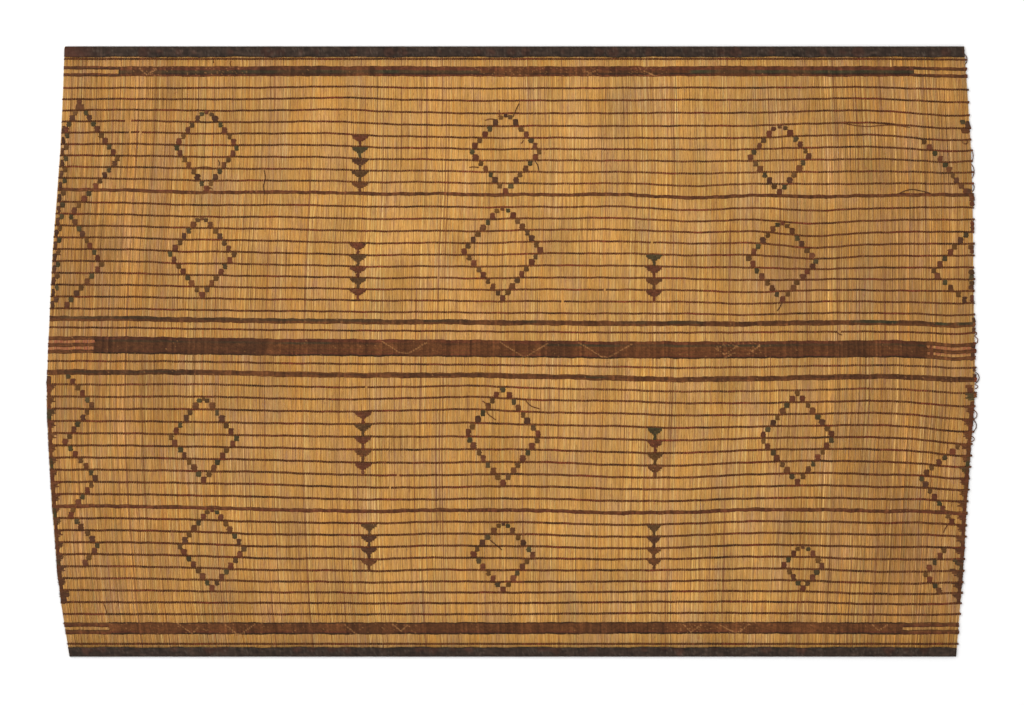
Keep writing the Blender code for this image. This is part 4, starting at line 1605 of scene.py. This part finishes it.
def set_stage(settings):
    """A plain pale floor, an even sky, one large soft lamp and a camera straight above the mat"""
    stage = settings.stage
    floor_mesh = bpy.data.meshes.new("floor")
    corners = [(x * FLOOR_HALF, y * FLOOR_HALF, FLOOR_LEVEL) for x, y in ((-1, -1), (1, -1), (1, 1), (-1, 1))]
    floor_mesh.from_pydata(corners, [], [(0, 1, 2, 3)])
    floor = place_new("floor", floor_mesh)
    # Matt white paint
    material, _, shader = start_finish("plain_pale_floor")
    shader.inputs["Base Color"].default_value = (*stage.floor, 1.0)
    shader.inputs["Roughness"].default_value = 0.9
    shader.inputs["Specular IOR Level"].default_value = 0.2
    floor_mesh.materials.append(material)
    lamp_data = bpy.data.lights.new("soft_lamp", "AREA")
    lamp_data.shape = "RECTANGLE"
    lamp_data.size, lamp_data.size_y = LAMP_SIZE
    lamp_data.energy = stage.lamp
    lamp = place_new("soft_lamp", lamp_data)
    lamp.location = LAMP_PLACE
    aim = -lamp.location.normalized()
    lamp.rotation_mode = "QUATERNION"
    lamp.rotation_quaternion = aim.to_track_quat("-Z", "Y")
    world = bpy.data.worlds.new("soft_studio")
    world.use_nodes = True
    background = world.node_tree.nodes["Background"]
    background.inputs["Color"].default_value = (1.0, 1.0, 1.0, 1.0)
    background.inputs["Strength"].default_value = stage.sky
    bpy.context.scene.world = world
    camera_data = bpy.data.cameras.new("camera")
    camera_data.lens = stage.lens
    camera_data.sensor_width = SENSOR_WIDTH
    camera_data.clip_start, camera_data.clip_end = 0.1, 100.0
    camera = place_new("camera", camera_data)
    over, down = PHOTO_MIDDLE
    camera.location = (float(place_at(over)), float(height_at(down)), stage.distance + PANEL_HIGH)
    bpy.context.scene.camera = camera
    bpy.context.scene.view_settings.view_transform = "Standard"


# Operators and panel


class LayStems(bpy.types.Operator):
    """Lay the stems side by side"""

    bl_idname = "reed_mat.lay_stems"
    bl_label = "Lay the stems"

    def execute(self, context):
        lay_stems(context.scene.reed_mat)
        return {"FINISHED"}


class TwineThinThongs(bpy.types.Operator):
    """Twine the thin thongs round the stems"""

    bl_idname = "reed_mat.twine_thin_thongs"
    bl_label = "Twine the thin thongs"

    def execute(self, context):
        twine_thin_thongs(context.scene.reed_mat)
        return {"FINISHED"}


class TwineThickThongs(bpy.types.Operator):
    """Twine the two thick thongs"""

    bl_idname = "reed_mat.twine_thick_thongs"
    bl_label = "Twine the thick thongs"

    def execute(self, context):
        twine_thick_thongs(context.scene.reed_mat)
        return {"FINISHED"}


class WeaveBands(bpy.types.Operator):
    """Weave the broad bands and the stripes"""

    bl_idname = "reed_mat.weave_bands"
    bl_label = "Weave the bands"

    def execute(self, context):
        weave_bands(context.scene.reed_mat)
        return {"FINISHED"}


class WrapMotifs(bpy.types.Operator):
    """Wrap the diamonds, triangles and zigzags"""

    bl_idname = "reed_mat.wrap_motifs"
    bl_label = "Wrap the motifs"

    def execute(self, context):
        wrap_motifs(context.scene.reed_mat)
        return {"FINISHED"}


class FoldBindings(bpy.types.Operator):
    """Fold the bindings over the stems' ends"""

    bl_idname = "reed_mat.fold_bindings"
    bl_label = "Fold the bindings"

    def execute(self, context):
        fold_bindings(context.scene.reed_mat)
        return {"FINISHED"}


class FinishEdges(bpy.types.Operator):
    """Whip the side edges and tie the knots and loops"""

    bl_idname = "reed_mat.finish_edges"
    bl_label = "Finish the edges"

    def execute(self, context):
        finish_edges(context.scene.reed_mat)
        return {"FINISHED"}


class SetStage(bpy.types.Operator):
    """Set the floor, lights and camera"""

    bl_idname = "reed_mat.set_stage"
    bl_label = "Set the stage"

    def execute(self, context):
        set_stage(context.scene.reed_mat)
        return {"FINISHED"}


OPERATORS = (
    LayStems,
    TwineThinThongs,
    TwineThickThongs,
    WeaveBands,
    WrapMotifs,
    FoldBindings,
    FinishEdges,
    SetStage,
)


class MatPanel(bpy.types.Panel):
    """Steps and settings of the mat"""

    bl_idname = "VIEW3D_PT_reed_mat"
    bl_label = "Reed mat"
    bl_space_type = "VIEW_3D"
    bl_region_type = "UI"
    bl_category = "Mat"

    def draw(self, context):
        for operator in OPERATORS:
            self.layout.operator(operator.bl_idname)
        settings = context.scene.reed_mat
        for group in (settings.reed, settings.thong, settings.band, settings.edge, settings.stage):
            box = self.layout.box()
            for name in group.__annotations__:
                box.prop(group, name)


GROUPS = (ReedSettings, ThongSettings, BandSettings, EdgeSettings, StageSettings, MatSettings)


def register():
    for each in GROUPS + OPERATORS + (MatPanel,):
        bpy.utils.register_class(each)
    bpy.types.Scene.reed_mat = PointerProperty(type=MatSettings)


def unregister():
    del bpy.types.Scene.reed_mat
    for each in reversed(GROUPS + OPERATORS + (MatPanel,)):
        bpy.utils.unregister_class(each)


def main():
    """Makes the mat and the stage"""
    register()
    bpy.ops.reed_mat.lay_stems()
    bpy.ops.reed_mat.twine_thin_thongs()
    bpy.ops.reed_mat.twine_thick_thongs()
    bpy.ops.reed_mat.weave_bands()
    bpy.ops.reed_mat.wrap_motifs()
    bpy.ops.reed_mat.fold_bindings()
    bpy.ops.reed_mat.finish_edges()
    bpy.ops.reed_mat.set_stage()


if __name__ == "__main__":
    main()
